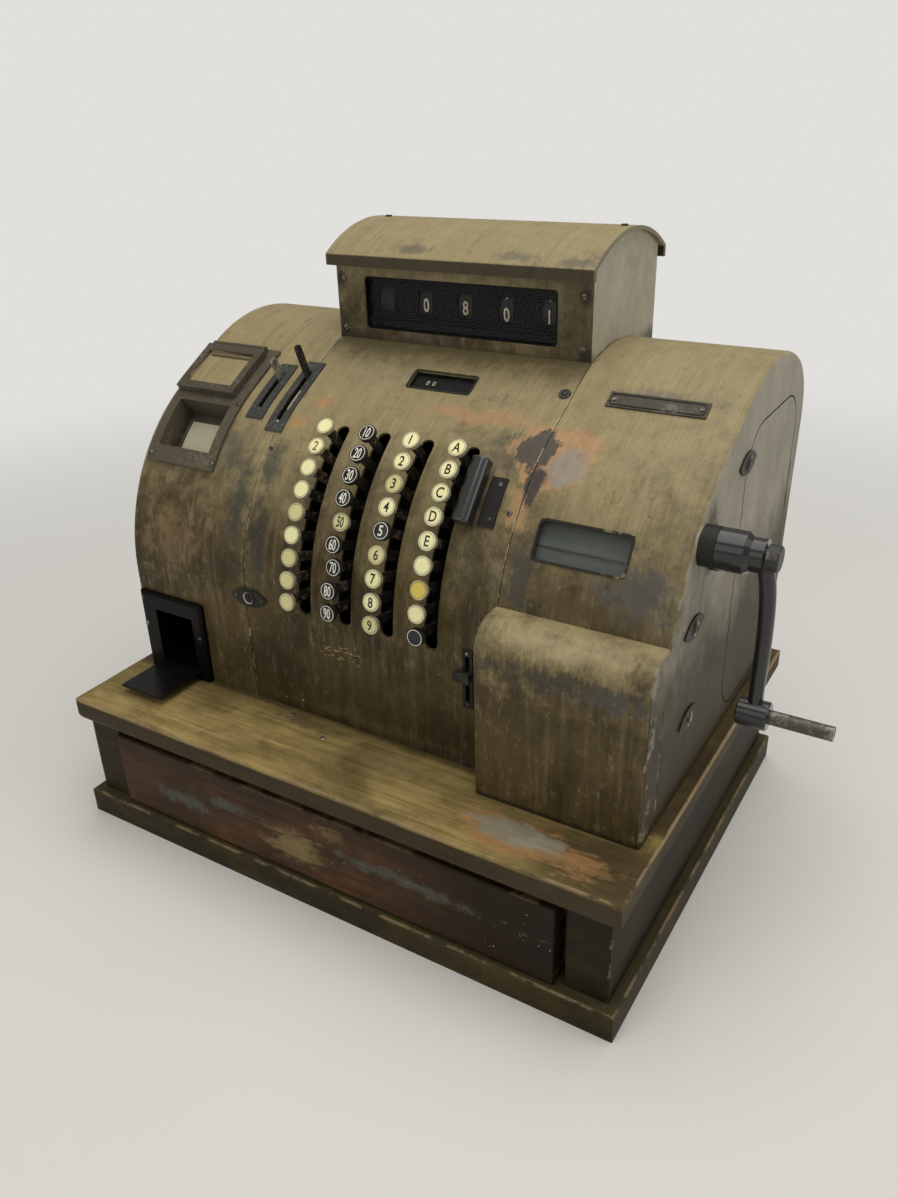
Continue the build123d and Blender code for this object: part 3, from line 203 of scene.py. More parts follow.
AIR_COLOUR = (0.94, 0.93, 0.9)
AIR_LIGHT = 0.3  # strength as a light
AIR_SEEN = 0.8  # strength where the camera sees it
pale_air = bpy.data.worlds.new("pale_air")
pale_air.use_nodes = True
bpy.context.scene.world = pale_air
air = Tree(pale_air.node_tree)
seen = air.value("ShaderNodeLightPath", output="Is Camera Ray")
strength = air.value("ShaderNodeMapRange", {}, {"Value": seen, "To Min": AIR_LIGHT, "To Max": AIR_SEEN})
background = air.value("ShaderNodeBackground", {}, {"Color": AIR_COLOUR, "Strength": strength})
air.feed(air.tree.nodes["World Output"].inputs["Surface"], background)

FLOOR_HALF = 6.0
floor_shape = bmesh.new()
bmesh.ops.create_grid(floor_shape, x_segments=1, y_segments=1, size=FLOOR_HALF)
floor_mesh = bpy.data.meshes.new("floor")
floor_shape.to_mesh(floor_mesh)
floor_shape.free()
floor = bpy.data.objects.new("floor", floor_mesh)
bpy.context.scene.collection.objects.link(floor)
pale_floor = Finish("pale_floor", Specular_IOR_Level=0.2)
pale_floor.done(pale_floor.mix(pale_floor.noise((3, 3, 3)), (0.8, 0.79, 0.765), (0.84, 0.83, 0.805)), 0.8)
away = pale_floor.vector("LENGTH", {0: pale_floor.place}, "Value").step(0.55, 1.9)
near_floor = Value(pale_floor, pale_floor.shader.outputs[0])
far_floor = pale_floor.value("ShaderNodeEmission", {}, {"Color": AIR_COLOUR, "Strength": AIR_SEEN})
sweep = pale_floor.value("ShaderNodeMixShader", {}, {0: away, 1: near_floor, 2: far_floor})
pale_floor.feed(pale_floor.tree.nodes["Material Output"].inputs["Surface"], sweep)
floor_mesh.materials.append(pale_floor.material)


# ---------------------------------------------------------------- steel covers
# Three bent steel covers, screwed together side by side, with an upright painted and combed
# wood grain over an orange undercoat. Handling has worn them to the undercoat and the steel.
END_X = 277.5  # the covers' end faces, in millimetres from the middle
SEAM_LEFT = -131.5
SEAM_MIDDLE = 1.0  # halfway between the two seams
SEAM_HALF = 132.5
BROW_Y = 75.5  # centre and radius of the keyboard's curve
BROW_Z = 240.0
BROW_RADIUS = 196.0
ROOF_FROM = 60.5  # the curve passes into the straight roof at this angle
KHAKI = (0.315, 0.256, 0.132)
KHAKI_LIGHT = (0.3, 0.245, 0.13)
KHAKI_DEEP = (0.19, 0.148, 0.068)
UMBER = (0.096, 0.068, 0.024)
UMBER_DEEP = (0.046, 0.031, 0.01)
UNDERCOAT = (0.4, 0.24, 0.115)
WORN_GREY = (0.15, 0.142, 0.122)
BARE_STEEL = (0.3, 0.252, 0.195)
BURNT = (0.085, 0.069, 0.05)


class Paint(Finish):
    """Paint whose later layers take up its grain and its blotches."""

    layer_shade = (0.2, 0.6)
    metal = None

    def over(self, mask, colour, rough=None, metal=None):
        """Lays a colour over the paint where a mask is 1."""
        base, share = self.layer_shade
        self.colour = self.mix(mask, self.colour, self.shade(colour, base + share * self.grain + self.blotch))
        if rough is not None:
            self.rough = self.rough + mask * (rough - 0.5)
        if metal is not None:
            self.metal = mask * metal if self.metal is None else self.metal.most(mask * metal)

    def rub(self, centre, radii, colour, ragged, soft, share=1.0, grain=(60, 60, 60), **look):
        """Lays a colour over a ragged patch about a centre in millimetres."""
        self.over(self.patch(centre, radii, ragged, soft, grain) * share, colour, **look)


class GrainPaint(Paint):
    """Combed wood-grain paint: khaki above, umber lower down (partly grime, partly painted shade), with
    upright streaks.
    """

    comb = (330, 40, 40)

    def __init__(self, name, low=0.27, high=0.43):
        super().__init__(name, Specular_IOR_Level=0.25)
        streaks = self.noise((620, 10, 10), 5.0, 0.7)
        bands = self.noise((90, 6, 6), 3.0, 0.6, 0.4, shift=4.0)
        clouds = self.noise((11, 11, 11), 5.0, 0.66, 0.3)
        rubs = self.noise((150, 60, 60), 5.0, 0.8, shift=17.0)
        self.blotch = self.noise((55, 55, 42), 6.0, 0.75, 0.4, shift=14.0)
        self.grain = streaks * 0.62 + bands * 0.38
        # painted shade: khaki turns to umber towards the foot, partly grime and partly shade painted in
        height = (self.z + (clouds - 0.5) * 0.2 + (self.blotch - 0.5) * 0.13).step(low, high)
        colour = self.mix(height, self.mix(clouds.step(0.4, 0.62), UMBER_DEEP, UMBER), KHAKI)
        colour = self.mix(bands.step(0.5, 0.72) * 0.4, colour, KHAKI_DEEP)
        colour = self.mix(rubs.step(0.56, 0.68) * 0.4, colour, UMBER_DEEP)
        colour = self.mix(rubs.step(0.46, 0.36) * 0.35, colour, KHAKI_LIGHT)
        # the end plates are a flatter grey-khaki, turning umber towards the foot, partly painted shade
        ends = (abs(self.x) - END_X * MM).step(-0.0009, -0.0003)
        end_streaks = self.noise((2, 420, 12), 4.0, 0.7, shift=9.0)
        end_clouds = self.noise((3, 14, 9), 5.0, 0.6, 0.4, shift=12.0)
        end_height = (self.z + (end_clouds - 0.5) * 0.16 + (self.blotch - 0.5) * 0.08).step(0.225, 0.345)
        plate = self.mix(end_height, (0.042, 0.03, 0.009), (0.3, 0.276, 0.208))
        self.colour = self.mix(ends, colour, self.shade(plate, 0.6 + 0.8 * end_streaks))
        self.colour = self.shade(self.colour, 0.05 + 1.2 * self.grain + 0.7 * self.blotch)
        self.rough = 0.34 + 0.2 * clouds + 0.2 * self.blotch
        self.height = streaks * 0.5 + self.noise((900, 900, 900), 2.0, 0.5) * 0.25 + self.blotch * 0.4
        # grey rubbed areas with soft ragged edges
        broad = self.noise((7, 7, 7), 5.0, 0.7, 0.6, shift=20.0)
        fine = self.noise((90, 90, 90), 4.0, 0.65, shift=20.0)
        self.over((broad * 0.72 + fine * 0.28).step(0.56, 0.66) * 0.35, WORN_GREY)

    def chips(self, scale, size, colour, shift):
        where = self.noise((25, 25, 25), shift=shift).step(0.5, 0.6)
        self.over(self.specks(scale, size, shift) * where, colour)

    def finish(self):
        self.chips(130, 0.055, (0.55, 0.52, 0.44), 3.0)
        self.chips(90, 0.07, (0.045, 0.035, 0.022), 7.0)
        return self.done(self.colour, self.rough, self.metal, self.height, 0.00035)


def dress(node, *finishes, choose=None, slot=None):
    """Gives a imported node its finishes; choose picks one by the middle of each face, in mm."""
    piece = nodes[node]
    piece.data.materials.clear()
    for finish in finishes:
        piece.data.materials.append(finish.material)
    if choose is not None:
        for face in piece.data.polygons:
            face.material_index = choose(*(c / MM for c in face.center))


# painted shade: near-black paint on the cut sides of the lever slots, in the plates' slots and in the door
# groove
slot_shade = Finish("slot_shade", Specular_IOR_Level=0.1)
slot_mottle = slot_shade.noise((80, 80, 80))
slot_shade_colour = slot_shade.mix(slot_mottle, (0.008, 0.006, 0.005), (0.024, 0.017, 0.012))
slot_shade.done(slot_shade_colour, 0.6 + 0.2 * slot_mottle, None, slot_mottle, 0.0001)
LEVER_WALLS = (-165.5, -160.5, -136.5, -131.5)
LEVER_WALLS_FROM = 370.0


def lever_wall(x, y, z):
    """1 on the cut sides of the two lever slots."""
    return 1 if z > LEVER_WALLS_FROM and min(abs(x - wall) for wall in LEVER_WALLS) < 0.05 else 0


left_paint = GrainPaint("left_cover_paint")
left_paint.rub((-170, -72, 368), (24, 34, 30), (0.1, 0.095, 0.072), 0.6, 0.8, 0.8)
left_paint.rub((-147, -96, 335), (18, 42, 62), (0.062, 0.06, 0.048), 0.7, 0.9, 0.85)
left_paint.rub((-225, -112, 285), (56, 34, 52), (0.24, 0.165, 0.078), 0.9, 0.9, 0.6)
left_seam = (left_paint.x - SEAM_LEFT * MM).step(-0.0017, -0.0007)
left_chips = left_paint.noise((5, 90, 90), shift=2.0).step(0.53, 0.6)
left_paint.over(left_seam * left_chips, (0.55, 0.52, 0.45), metal=0.6)
left_inside = left_paint.x + END_X * MM
left_edge = left_inside.step(0.004, 0.002) * left_inside.step(0.0001, 0.0006)
left_paint.over(left_edge * left_paint.noise((40, 60, 60), shift=5.0).step(0.5, 0.62), WORN_GREY)
dress("left_cover", left_paint.finish(), slot_shade, choose=lever_wall, slot="grained_paint")


def crown_wear(paint):
    """The big worn place beside the keys, on both sides of the right seam."""
    paint.rub((108, -42, 398), (40, 26, 24), (0.1, 0.082, 0.055), 0.8, 0.9, 0.75)
    paint.rub((66, -14, 418), (88, 13, 10), UNDERCOAT, 0.75, 0.6, 0.85, grain=(45, 45, 45))
    paint.rub((143, -36, 398), (45, 36, 33), UNDERCOAT, 0.5, 0.3, 0.9, grain=(45, 45, 45))
    paint.rub((134, -72, 366), (12, 26, 24), UNDERCOAT, 0.6, 0.5, 0.8)
    paint.rub(
        (160, -44, 394), (17, 22, 21), BARE_STEEL, 0.45, 0.25, 1.0, grain=(70, 70, 70), rough=0.4, metal=0.2
    )
    paint.rub((166, -34, 402), (5, 4, 4), (0.36, 0.14, 0.1), 0.7, 0.8, 0.5)
    paint.rub((127, -34, 401), (20, 24, 22), BURNT, 0.6, 0.2, 1.0, grain=(60, 60, 60), rough=0.42)
    paint.rub((138, -60, 381), (9, 22, 20), (0.06, 0.05, 0.04), 0.6, 0.4, 1.0, grain=(60, 60, 60))


key_paint = GrainPaint("keyboard_cover_paint")
key_paint.rub((-98, -22, 411), (13, 12, 10), UNDERCOAT, 0.5, 0.6)
key_paint.rub((-112, -44, 396), (11, 11, 10), UNDERCOAT, 0.5, 0.6)
key_paint.rub((-119, -78, 360), (15, 42, 42), (0.075, 0.073, 0.058), 0.6, 0.9, 0.85)
key_paint.rub((-117, -114, 300), (14, 40, 70), (0.044, 0.04, 0.028), 0.6, 0.9, 0.85)
key_paint.rub((98, -100, 320), (40, 40, 60), (0.045, 0.035, 0.018), 0.9, 0.9, 0.6)
key_paint.rub((20, -118, 190), (120, 16, 40), (0.085, 0.062, 0.022), 1.0, 0.9, 0.5)
# painted shadow: darker along the top of the cover, under the indicator housing
key_paint.over((key_paint.z + (key_paint.blotch - 0.5) * 0.04).step(0.432, 0.452) * 0.8, (0.062, 0.05, 0.018))
# painted shade: darker towards the foot of the cover's front
key_paint.over((key_paint.z + (key_paint.blotch - 0.5) * 0.1).step(0.25, 0.17) * 0.45, (0.026, 0.019, 0.006))
crown_wear(key_paint)
key_seams = (abs(key_paint.x - SEAM_MIDDLE * MM) - SEAM_HALF * MM).step(-0.0013, -0.0005)
seam_chips = key_paint.noise((5, 80, 80), shift=1.0).step(0.5, 0.58)
key_paint.over(key_seams * seam_chips, (0.5, 0.46, 0.38), metal=0.5)
key_paint.rub((-10, -121, 147), (150, 6, 9), (0.13, 0.1, 0.045), 0.6, 0.9, 0.5)
foot_specks = key_paint.z.step(0.17, 0.15) * key_paint.noise((30, 30, 30)).step(0.5, 0.55)
key_paint.over(key_paint.specks(120, 0.12, 11.0) * foot_specks, (0.6, 0.58, 0.5))
scribble = key_paint.noise((60, 60, 420), 2.0, 0.5, 2.5, shift=31.0).step(0.6, 0.64)
key_paint.over(scribble * key_paint.patch((-22, -121, 213), (36, 6, 10), 0.5, 0.5), (0.5, 0.41, 0.19))
dress("keyboard_cover", key_paint.finish(), slot_shade, choose=lever_wall, slot="grained_paint")

right_paint = GrainPaint("right_cover_paint")
crown_wear(right_paint)
right_paint.rub((148, -102, 322), (13, 34, 36), (0.07, 0.065, 0.05), 0.7, 0.6, 0.9)
right_paint.rub((242, -100, 326), (40, 32, 34), (0.1, 0.092, 0.078), 0.75, 0.6, 0.9)
right_paint.rub((205, -110, 312), (60, 8, 14), (0.1, 0.07, 0.026), 0.9, 0.6, 0.8, grain=(40, 90, 90))
right_paint.rub((209, 24, 441), (70, 16, 10), (0.17, 0.15, 0.11), 0.5, 0.8)
right_beyond = right_paint.x - END_X * MM
# pale flecked edge down the right end's front corner: partly worn steel, partly a painted highlight
right_edge_wear_and_highlight = right_beyond.step(-0.0023, -0.0007) * right_beyond.step(0.0, -0.0005)
right_edge_wear_and_highlight = right_edge_wear_and_highlight * right_paint.noise((40, 60, 60), shift=5.0).step(0.46, 0.62)
right_paint.over(right_edge_wear_and_highlight * 0.7, (0.38, 0.34, 0.25), 0.3, 0.4)
right_paint.rub((278, -38, 352), (3, 20, 42), (0.09, 0.075, 0.045), 0.5, 0.6)
boss = right_beyond.step(0.0004, 0.0007)
right_paint.over(boss, (0.016, 0.0145, 0.009))
DOOR_GROOVE = ((276.3, 277.3), (40.0, 199.0), (147.0, 417.0))


def door_line(*place):
    """1 in the groove round the door in the right end."""
    return int(all(low < c < high for c, (low, high) in zip(place, DOOR_GROOVE)))


dress("right_cover", right_paint.finish(), slot_shade, choose=door_line, slot="grained_paint")

# ---------------------------------------------------------------- printer cover
# A bent steel box over the slip printer, held on by the right cover, in the same combed
# paint. Its rounded top edge is rubbed pale and its front corner shows bright steel and a painted highlight.
printer_paint = GrainPaint("printer_cover_paint", 0.235, 0.32)
printer_paint.rub((204, -142, 290), (60, 14, 9), (0.36, 0.29, 0.16), 0.4, 0.6)
printer_paint.rub((200, -147, 264), (80, 12, 13), (0.06, 0.053, 0.038), 1.0, 0.6, 0.85)
printer_paint.rub((252, -147, 262), (30, 12, 14), (0.085, 0.08, 0.068), 0.8, 0.5, 0.9)
printer_paint.rub((215, -148, 222), (70, 12, 34), (0.11, 0.085, 0.034), 1.0, 0.9, 0.4)
# pale flecks down the front right corner: partly worn steel, partly a painted highlight
printer_corner_wear_and_highlight = (printer_paint.x - END_X * MM).step(-0.0023, -0.0009)
printer_corner_wear_and_highlight = printer_corner_wear_and_highlight * (printer_paint.y + 0.13).step(0.0, -0.01)
printer_corner_wear_and_highlight = printer_corner_wear_and_highlight * printer_paint.noise((30, 70, 70), shift=5.0).step(0.54, 0.6)
printer_paint.over(printer_corner_wear_and_highlight * 0.5, (0.36, 0.33, 0.26), 0.3, 0.4)
# painted shade: a dark band along the foot of the front, where the cover stands on the board
printer_foot_shade = (printer_paint.z - 0.138).step(0.004, 0.0) * (printer_paint.y + 0.1485).step(0.0, -0.001)
printer_paint.over(printer_foot_shade * 0.7, (0.012, 0.01, 0.007))
dress("printer_cover", printer_paint.finish(), slot="grained_paint")

# ---------------------------------------------------------------- indicator housing and hood
# A steel box with an arched, rolled hood screwed over it. The front is umber, the ends are
# a flat grey-khaki, and painted shade darkens the foot where the box meets the roof.
housing_paint = GrainPaint("indicator_housing_paint", 0.42, 0.6)
housing_ends = abs(housing_paint.x).step(0.1322, 0.1328)
housing_clouds = housing_paint.noise((5, 16, 10), 5.0, 0.6)
housing_plate = housing_paint.mix(housing_clouds, (0.35, 0.32, 0.24), (0.43, 0.394, 0.295))
housing_paint.over(housing_ends, housing_plate)
# painted shade: darker along the foot where the box stands on the roof
housing_foot_shade = (housing_paint.z + (housing_paint.noise((50, 50, 50)) - 0.5) * 0.03).step(0.462, 0.447)
housing_paint.over(housing_foot_shade * 0.8, (0.035, 0.027, 0.017))
housing_paint.over(housing_paint.x.step(0.06, 0.128) * (0.5 - 0.5 * housing_ends), (0.035, 0.027, 0.012))
for corner in ((-126, 57, 458), (-127, 57, 508), (127, 57, 458), (126, 57, 506)):
    housing_paint.rub(corner, (9, 9, 12), (0.022, 0.016, 0.012), 0.5, 0.9, 0.85)
dress("indicator_housing", housing_paint.finish(), slot="grained_paint")

hood_paint = GrainPaint("hood_paint", 0.44, 0.535)
for mark in ((-46, 60, 535), (60, 58, 534), (118, 55, 532)):
    hood_paint.rub(mark, (26, 9, 6), (0.12, 0.11, 0.08), 0.5, 0.6, 0.7)
hood_lip = (hood_paint.z - 0.531).step(0.0, -0.002)
hood_paint.over(hood_lip * 0.9, (0.034, 0.027, 0.015))
hood_paint.over((abs(hood_paint.x) - 0.1355).step(0.0, 0.001) * 0.8, (0.2, 0.18, 0.13))
dress("indicator_hood", hood_paint.finish(), slot="grained_paint")

# ---------------------------------------------------------------- timber base
# A moulded base of painted timber: a solid foot, a carcass round the drawer, and a board on
# top. The paint is combed along the length and worn to pale wood on every arris.
ARRIS_WIDTH = 0.0024


class BasePaint(Paint):
    """Painted timber with its grain along x, or along y on the ends."""

    comb = (40, 330, 330)
    layer_shade = (0.1, 0.8)

    def __init__(self, name, light, dark):
        super().__init__(name, Specular_IOR_Level=0.15)
        ends = abs(self.x).step(0.2805, 0.2812)
        along_x = self.noise((9, 260, 260), 5.0, 0.68, 0.5)
        along_y = self.noise((260, 9, 260), 5.0, 0.68, 0.5, shift=3.0)
        self.grain = along_x + (along_y - along_x) * ends
        self.clouds = self.noise((10, 13, 16), 5.0, 0.62, 0.4, shift=6.0)
        self.colour = self.mix(self.clouds.step(0.38, 0.62), dark, light)
        self.blotch = self.noise((50, 70, 70), 6.0, 0.75, 0.3, shift=11.0)
        self.colour = self.shade(self.colour, -0.3 + 1.9 * self.grain + 0.7 * self.blotch)
        self.rough = 0.42 + 0.25 * self.clouds

    def arris(self, half_x, half_y, top, colour, gap):
        """Pale worn edge round the top of a piece, broken where the paint held."""
        beyond = (abs(self.x) - half_x).most(abs(self.y) - half_y)
        worn = self.noise((26, 26, 60), 4.0, 0.7, shift=1.5).step(gap - 0.06, gap + 0.05)
        upper = self.z.step(top - ARRIS_WIDTH * 1.3, top - ARRIS_WIDTH * 0.5)
        self.over(beyond.step(-ARRIS_WIDTH, -ARRIS_WIDTH * 0.4) * upper * worn, colour)

    def finish(self):
        scratch = self.noise((600, 40, 40), 2.0, 0.5, 1.5, shift=8.0).step(0.74, 0.78)
        self.over(scratch * self.clouds.step(0.55, 0.65) * 0.6, (0.36, 0.28, 0.17))
        return self.done(self.colour, self.rough, None, self.grain, 0.0005)


board_paint = BasePaint("board_paint", (0.33, 0.248, 0.092), (0.17, 0.124, 0.046))
# painted shade: the board's upright sides are painted much darker than its top
board_sides_in_shade = board_paint.z.step(0.1335, 0.131)
board_paint.over(board_sides_in_shade, (0.05, 0.033, 0.014))
board_paint.rub((40, -150, 136), (70, 14, 6), (0.26, 0.2, 0.09), 0.5, 0.8, 0.6)
board_paint.over(board_paint.x.step(0.14, 0.25) * board_paint.y.step(-0.13, -0.16) * 0.8, (0.06, 0.044, 0.02))
board_paint.rub((192, -182, 136), (90, 28, 8), (0.36, 0.2, 0.08), 0.7, 0.6, 0.9, grain=(30, 45, 45))
board_paint.rub((184, -177, 136), (52, 14, 8), (0.27, 0.255, 0.19), 0.6, 0.4, 0.9, grain=(40, 60, 60))
board_paint.rub((-60, -135, 136), (60, 16, 6), (0.08, 0.065, 0.035), 0.5, 0.9, 0.7)
# painted shade: darker on the board along the foot of the covers
board_shade_at_covers = (board_paint.y + 0.1205).step(-0.012, 0.0) * board_paint.z.step(0.135, 0.1358)
board_paint.over(board_shade_at_covers * 0.75, (0.03, 0.023, 0.013))
board_paint.arris(0.290, 0.2125, 0.136, (0.3, 0.215, 0.11), gap=0.46)
dress("top_board", board_paint.finish(), slot="board_timber")

foot_paint = BasePaint("foot_paint", (0.058, 0.042, 0.012), (0.028, 0.02, 0.006))
foot_ledge = foot_paint.z.step(0.0262, 0.0268)
foot_paint.over(foot_ledge * 0.9, (0.062, 0.054, 0.025))
foot_paint.arris(0.290, 0.216, 0.027, (0.2, 0.145, 0.075), gap=0.5)
dress("plinth", foot_paint.finish(), slot="base_timber")

carcass_paint = BasePaint("carcass_paint", (0.034, 0.025, 0.009), (0.016, 0.012, 0.005))
carcass_corner = (abs(carcass_paint.x) - 0.281).least(carcass_paint.y * -1 - 0.2055).step(-0.0026, -0.0008)
corner_worn = carcass_paint.noise((90, 90, 50), 4.0, 0.7).step(0.5, 0.56)
carcass_paint.over(carcass_corner * corner_worn, (0.17, 0.125, 0.065))
dress("drawer_case", carcass_paint.finish(), slot="base_timber")

# ---------------------------------------------------------------- cash drawer
# The front is a dark red-brown board with grey-blue rubs and one scraped yellow place. Behind
# it is a plain box with note bays and a moulded tray with six coin cups.
front_paint = BasePaint("drawer_front_paint", (0.088, 0.042, 0.017), (0.044, 0.022, 0.009))
front_paint.over(front_paint.x.step(0.02, 0.19) * 0.85, (0.01, 0.006, 0.003))
front_upper = (front_paint.z + (front_paint.blotch - 0.5) * 0.03).step(0.082, 0.104)
front_paint.over(front_upper * 0.6, (0.022, 0.014, 0.007))
for middle, radii in (
    ((-158, -212, 60), (46, 9, 11)),
    ((100, -212, 72), (110, 9, 9)),
    ((-95, -212, 74), (40, 9, 8)),
):
    front_paint.rub(middle, radii, (0.088, 0.09, 0.072), 0.9, 0.8, 0.8)
front_paint.rub((-22, -212, 62), (38, 9, 26), (0.26, 0.195, 0.08), 0.7, 0.7, 0.75, grain=(45, 45, 110))
front_paint.rub((18, -212, 90), (22, 9, 12), (0.16, 0.11, 0.045), 0.9, 0.6, 0.7, grain=(70, 70, 70))
front_chips = front_paint.specks(110, 0.09, 6.0) * front_paint.noise((22, 22, 22), shift=7.0).step(0.52, 0.58)
front_paint.over(front_chips, (0.3, 0.29, 0.24))
front_edge = (front_paint.z.step(0.1045, 0.1062)).most(front_paint.x.step(0.2335, 0.2352))
front_paint.over(front_edge * front_paint.noise((30, 30, 60), 4.0).step(0.52, 0.6) * 0.6, (0.13, 0.09, 0.045))
dress("drawer_front", front_paint.finish(), slot="drawer_timber")

plain_wood = BasePaint("plain_wood", (0.34, 0.235, 0.125), (0.24, 0.16, 0.082))
dress("cash_drawer", plain_wood.finish(), slot="inner_timber")

tray_black = Finish("moulded_tray", Specular_IOR_Level=0.45)
tray_clouds = tray_black.noise((30, 30, 30))
tray_dust = tray_black.mix(tray_clouds.step(0.45, 0.7), (0.02, 0.019, 0.018), (0.055, 0.05, 0.044))
tray_black.done(tray_dust, 0.38 + 0.25 * tray_clouds, None, tray_black.noise((900, 900, 900)), 0.0001)
dress("coin_tray", tray_black, slot="tray_plastic")

# ---------------------------------------------------------------- frames, plates and levers
# Stamped steel plates in worn black paint, screwed to the covers round each lever, lock and
# window, and the bare steel blades that stand out of them.
# The key guide, the latch and the release bar are dressed here too.


def old_metal(name, dark, light, wear=0.56, metal=0.0, rough=0.4, gloss=0.3, relief=0.0002, **constants):
    """Paint or plating worn through in flecks, with a fine mottle."""
    made = Finish(name, Specular_IOR_Level=gloss, **constants)
    broad = made.noise((28, 28, 28), 5.0, 0.65, 0.4)
    fine = made.noise((240, 240, 240), 3.0, 0.6, shift=2.0)
    worn = (broad * 0.6 + fine * 0.4).step(wear - 0.05, wear + 0.05)
    colour = made.shade(made.mix(worn, dark, light), 0.75 + 0.5 * fine)
    metallic = metal + worn * (0.75 - metal) * 0.6
    return made.done(colour, rough + 0.3 * broad - worn * 0.12, metallic, fine * 0.5 + worn * 0.3, relief)


slip_black = old_metal("slip_frame_paint", (0.095, 0.08, 0.054), (0.18, 0.155, 0.11), 0.58, 0.0, 0.34)
dress("slip_frame", slip_black, slot="frame_paint")
lid_brown = old_metal("lid_border_paint", (0.075, 0.062, 0.042), (0.16, 0.14, 0.105), 0.57, 0.0, 0.36)
lid_khaki = GrainPaint("lid_well_paint", 0.33, 0.4).finish()


WELL_X = (-260.5, -202.5)
WELL_ANGLES = (58.4, 70.8)
WELL_REACH = 204.0


def lid_zone(x, y, z):
    """1 in the sunk middle of the lid, placed by its angle and reach on the covers' curve."""
    angle = math.degrees(math.atan2(z - BROW_Z, BROW_Y - y))
    reach = math.hypot(z - BROW_Z, BROW_Y - y) * math.cos(math.radians(max(0.0, angle - ROOF_FROM)))
    sunk = reach < WELL_REACH and WELL_ANGLES[0] < angle < WELL_ANGLES[1]
    return 1 if sunk and WELL_X[0] < x < WELL_X[1] else 0


dress("slip_lid", lid_brown, lid_khaki, choose=lid_zone, slot="frame_paint")
chute_black = old_metal("chute_paint", (0.003, 0.003, 0.003), (0.014, 0.012, 0.01), 0.64, 0.0, 0.2, 0.12)
tray_steel = old_metal("chute_tray_black", (0.006, 0.0055, 0.005), (0.03, 0.028, 0.024), 0.66, 0.0, 0.1, 0.3)


def chute_zone(x, y, z):
    """1 on the tear-off tray before the mouth."""
    return 1 if y < -127.0 and z < 146.5 else 0


dress("receipt_chute", chute_black, tray_steel, choose=chute_zone, slot="chute_paint")
plate_grey = old_metal("lever_plate_steel", (0.06, 0.062, 0.055), (0.15, 0.15, 0.13), 0.58, 0.3, 0.36)
latch_black = old_metal("latch_plate_paint", (0.014, 0.012, 0.01), (0.05, 0.045, 0.036), 0.6, 0.0, 0.4)
lock_nickel = old_metal("escutcheon_steel", (0.022, 0.019, 0.014), (0.12, 0.11, 0.085), 0.61, 0.2, 0.34)
ring_steel = old_metal("lock_ring_steel", (0.13, 0.12, 0.095), (0.36, 0.34, 0.28), 0.5, 0.6, 0.28)
name_steel = old_metal("nameplate_steel", (0.062, 0.053, 0.038), (0.12, 0.104, 0.076), 0.57, 0.1, 0.4)


def plate_zone(x, y, z):
    """1 on the escutcheons, 2 on the latch plate and bracket, 3 on the nameplate, 4 in the slots."""
    if lever_wall(x, y, z):
        return 4
    if x > END_X - 0.5 or y < -120.4 and x < -90.0:
        return 1
    if x > 160.0:
        return 3
    return 2 if x > 95.0 else 0


plate_finishes = (plate_grey, lock_nickel, latch_black, name_steel, slot_shade)
dress("trim_plates", *plate_finishes, choose=plate_zone, slot="plate_steel")
guide_black = old_metal("key_guide_black", (0.008, 0.0075, 0.007), (0.022, 0.021, 0.019), 0.6, 0.2, 0.5)
dress("key_frame", guide_black, slot="frame_steel")
short_steel = old_metal("short_lever_steel", (0.2, 0.19, 0.15), (0.46, 0.44, 0.38), 0.48, 0.6, 0.28)
dress("short_lever", short_steel, slot="lever_steel")
long_black = old_metal("long_lever_black", (0.02, 0.016, 0.013), (0.1, 0.085, 0.07), 0.56, 0.1, 0.28)
dress("long_lever", long_black, slot="lever_steel")
latch_steel = old_metal("latch_steel", (0.03, 0.026, 0.02), (0.14, 0.12, 0.09), 0.54, 0.3, 0.34)
dress("cover_latch", latch_steel, slot="lever_steel")
bar_coat = {"relief": 0.00003, "Coat_Weight": 1.0, "Coat_Roughness": 0.12, "Coat_IOR": 1.6}
bar_black = old_metal(
    "release_bar_black", (0.012, 0.013, 0.013), (0.04, 0.042, 0.04), 0.66, 0.0, 0.3, 0.35, **bar_coat
)
dress("release_bar", bar_black, slot="bar_plastic")

# ---------------------------------------------------------------- crank
# A cast crank in black stoving enamel on an olive boss, with a grey nut, and a bare steel pin
# at its eye where a wooden grip once turned.
crank_coat = {"relief": 0.00003, "Coat_Weight": 1.0, "Coat_Roughness": 0.1, "Coat_IOR": 1.42}
crank_black = old_metal(
    "crank_enamel", (0.008, 0.008, 0.008), (0.03, 0.029, 0.027), 0.66, 0.0, 0.3, **crank_coat
)
pin_steel = old_metal("grip_pin_steel", (0.1, 0.088, 0.076), (0.24, 0.22, 0.2), 0.55, 0.6, 0.3)
nut_grey = old_metal("crank_nut_steel", (0.05, 0.048, 0.042), (0.16, 0.15, 0.13), 0.56, 0.3, 0.32)
CRANK_AXIS = (-60.2, 359.0)
BOSS_END = 290.0
NUT_FROM = 326.5
NUT_REACH = 10.3
PIN_FROM = 342.2


def crank_zone(x, y, z):
    """1 on the shaft and the pin, 2 on the nut."""
    if x > PIN_FROM or x < BOSS_END:
        return 1
    return 2 if x > NUT_FROM and math.dist((y, z), CRANK_AXIS) < NUT_REACH else 0


dress("crank", crank_black, pin_steel, nut_grey, choose=crank_zone, slot="crank_steel")

# ---------------------------------------------------------------- glass panes
# Three panes of old glass lie behind the covers: a wide one over the paper strip, a small one
# over the counter and a tall one over the number wheels. Dust has dulled them.


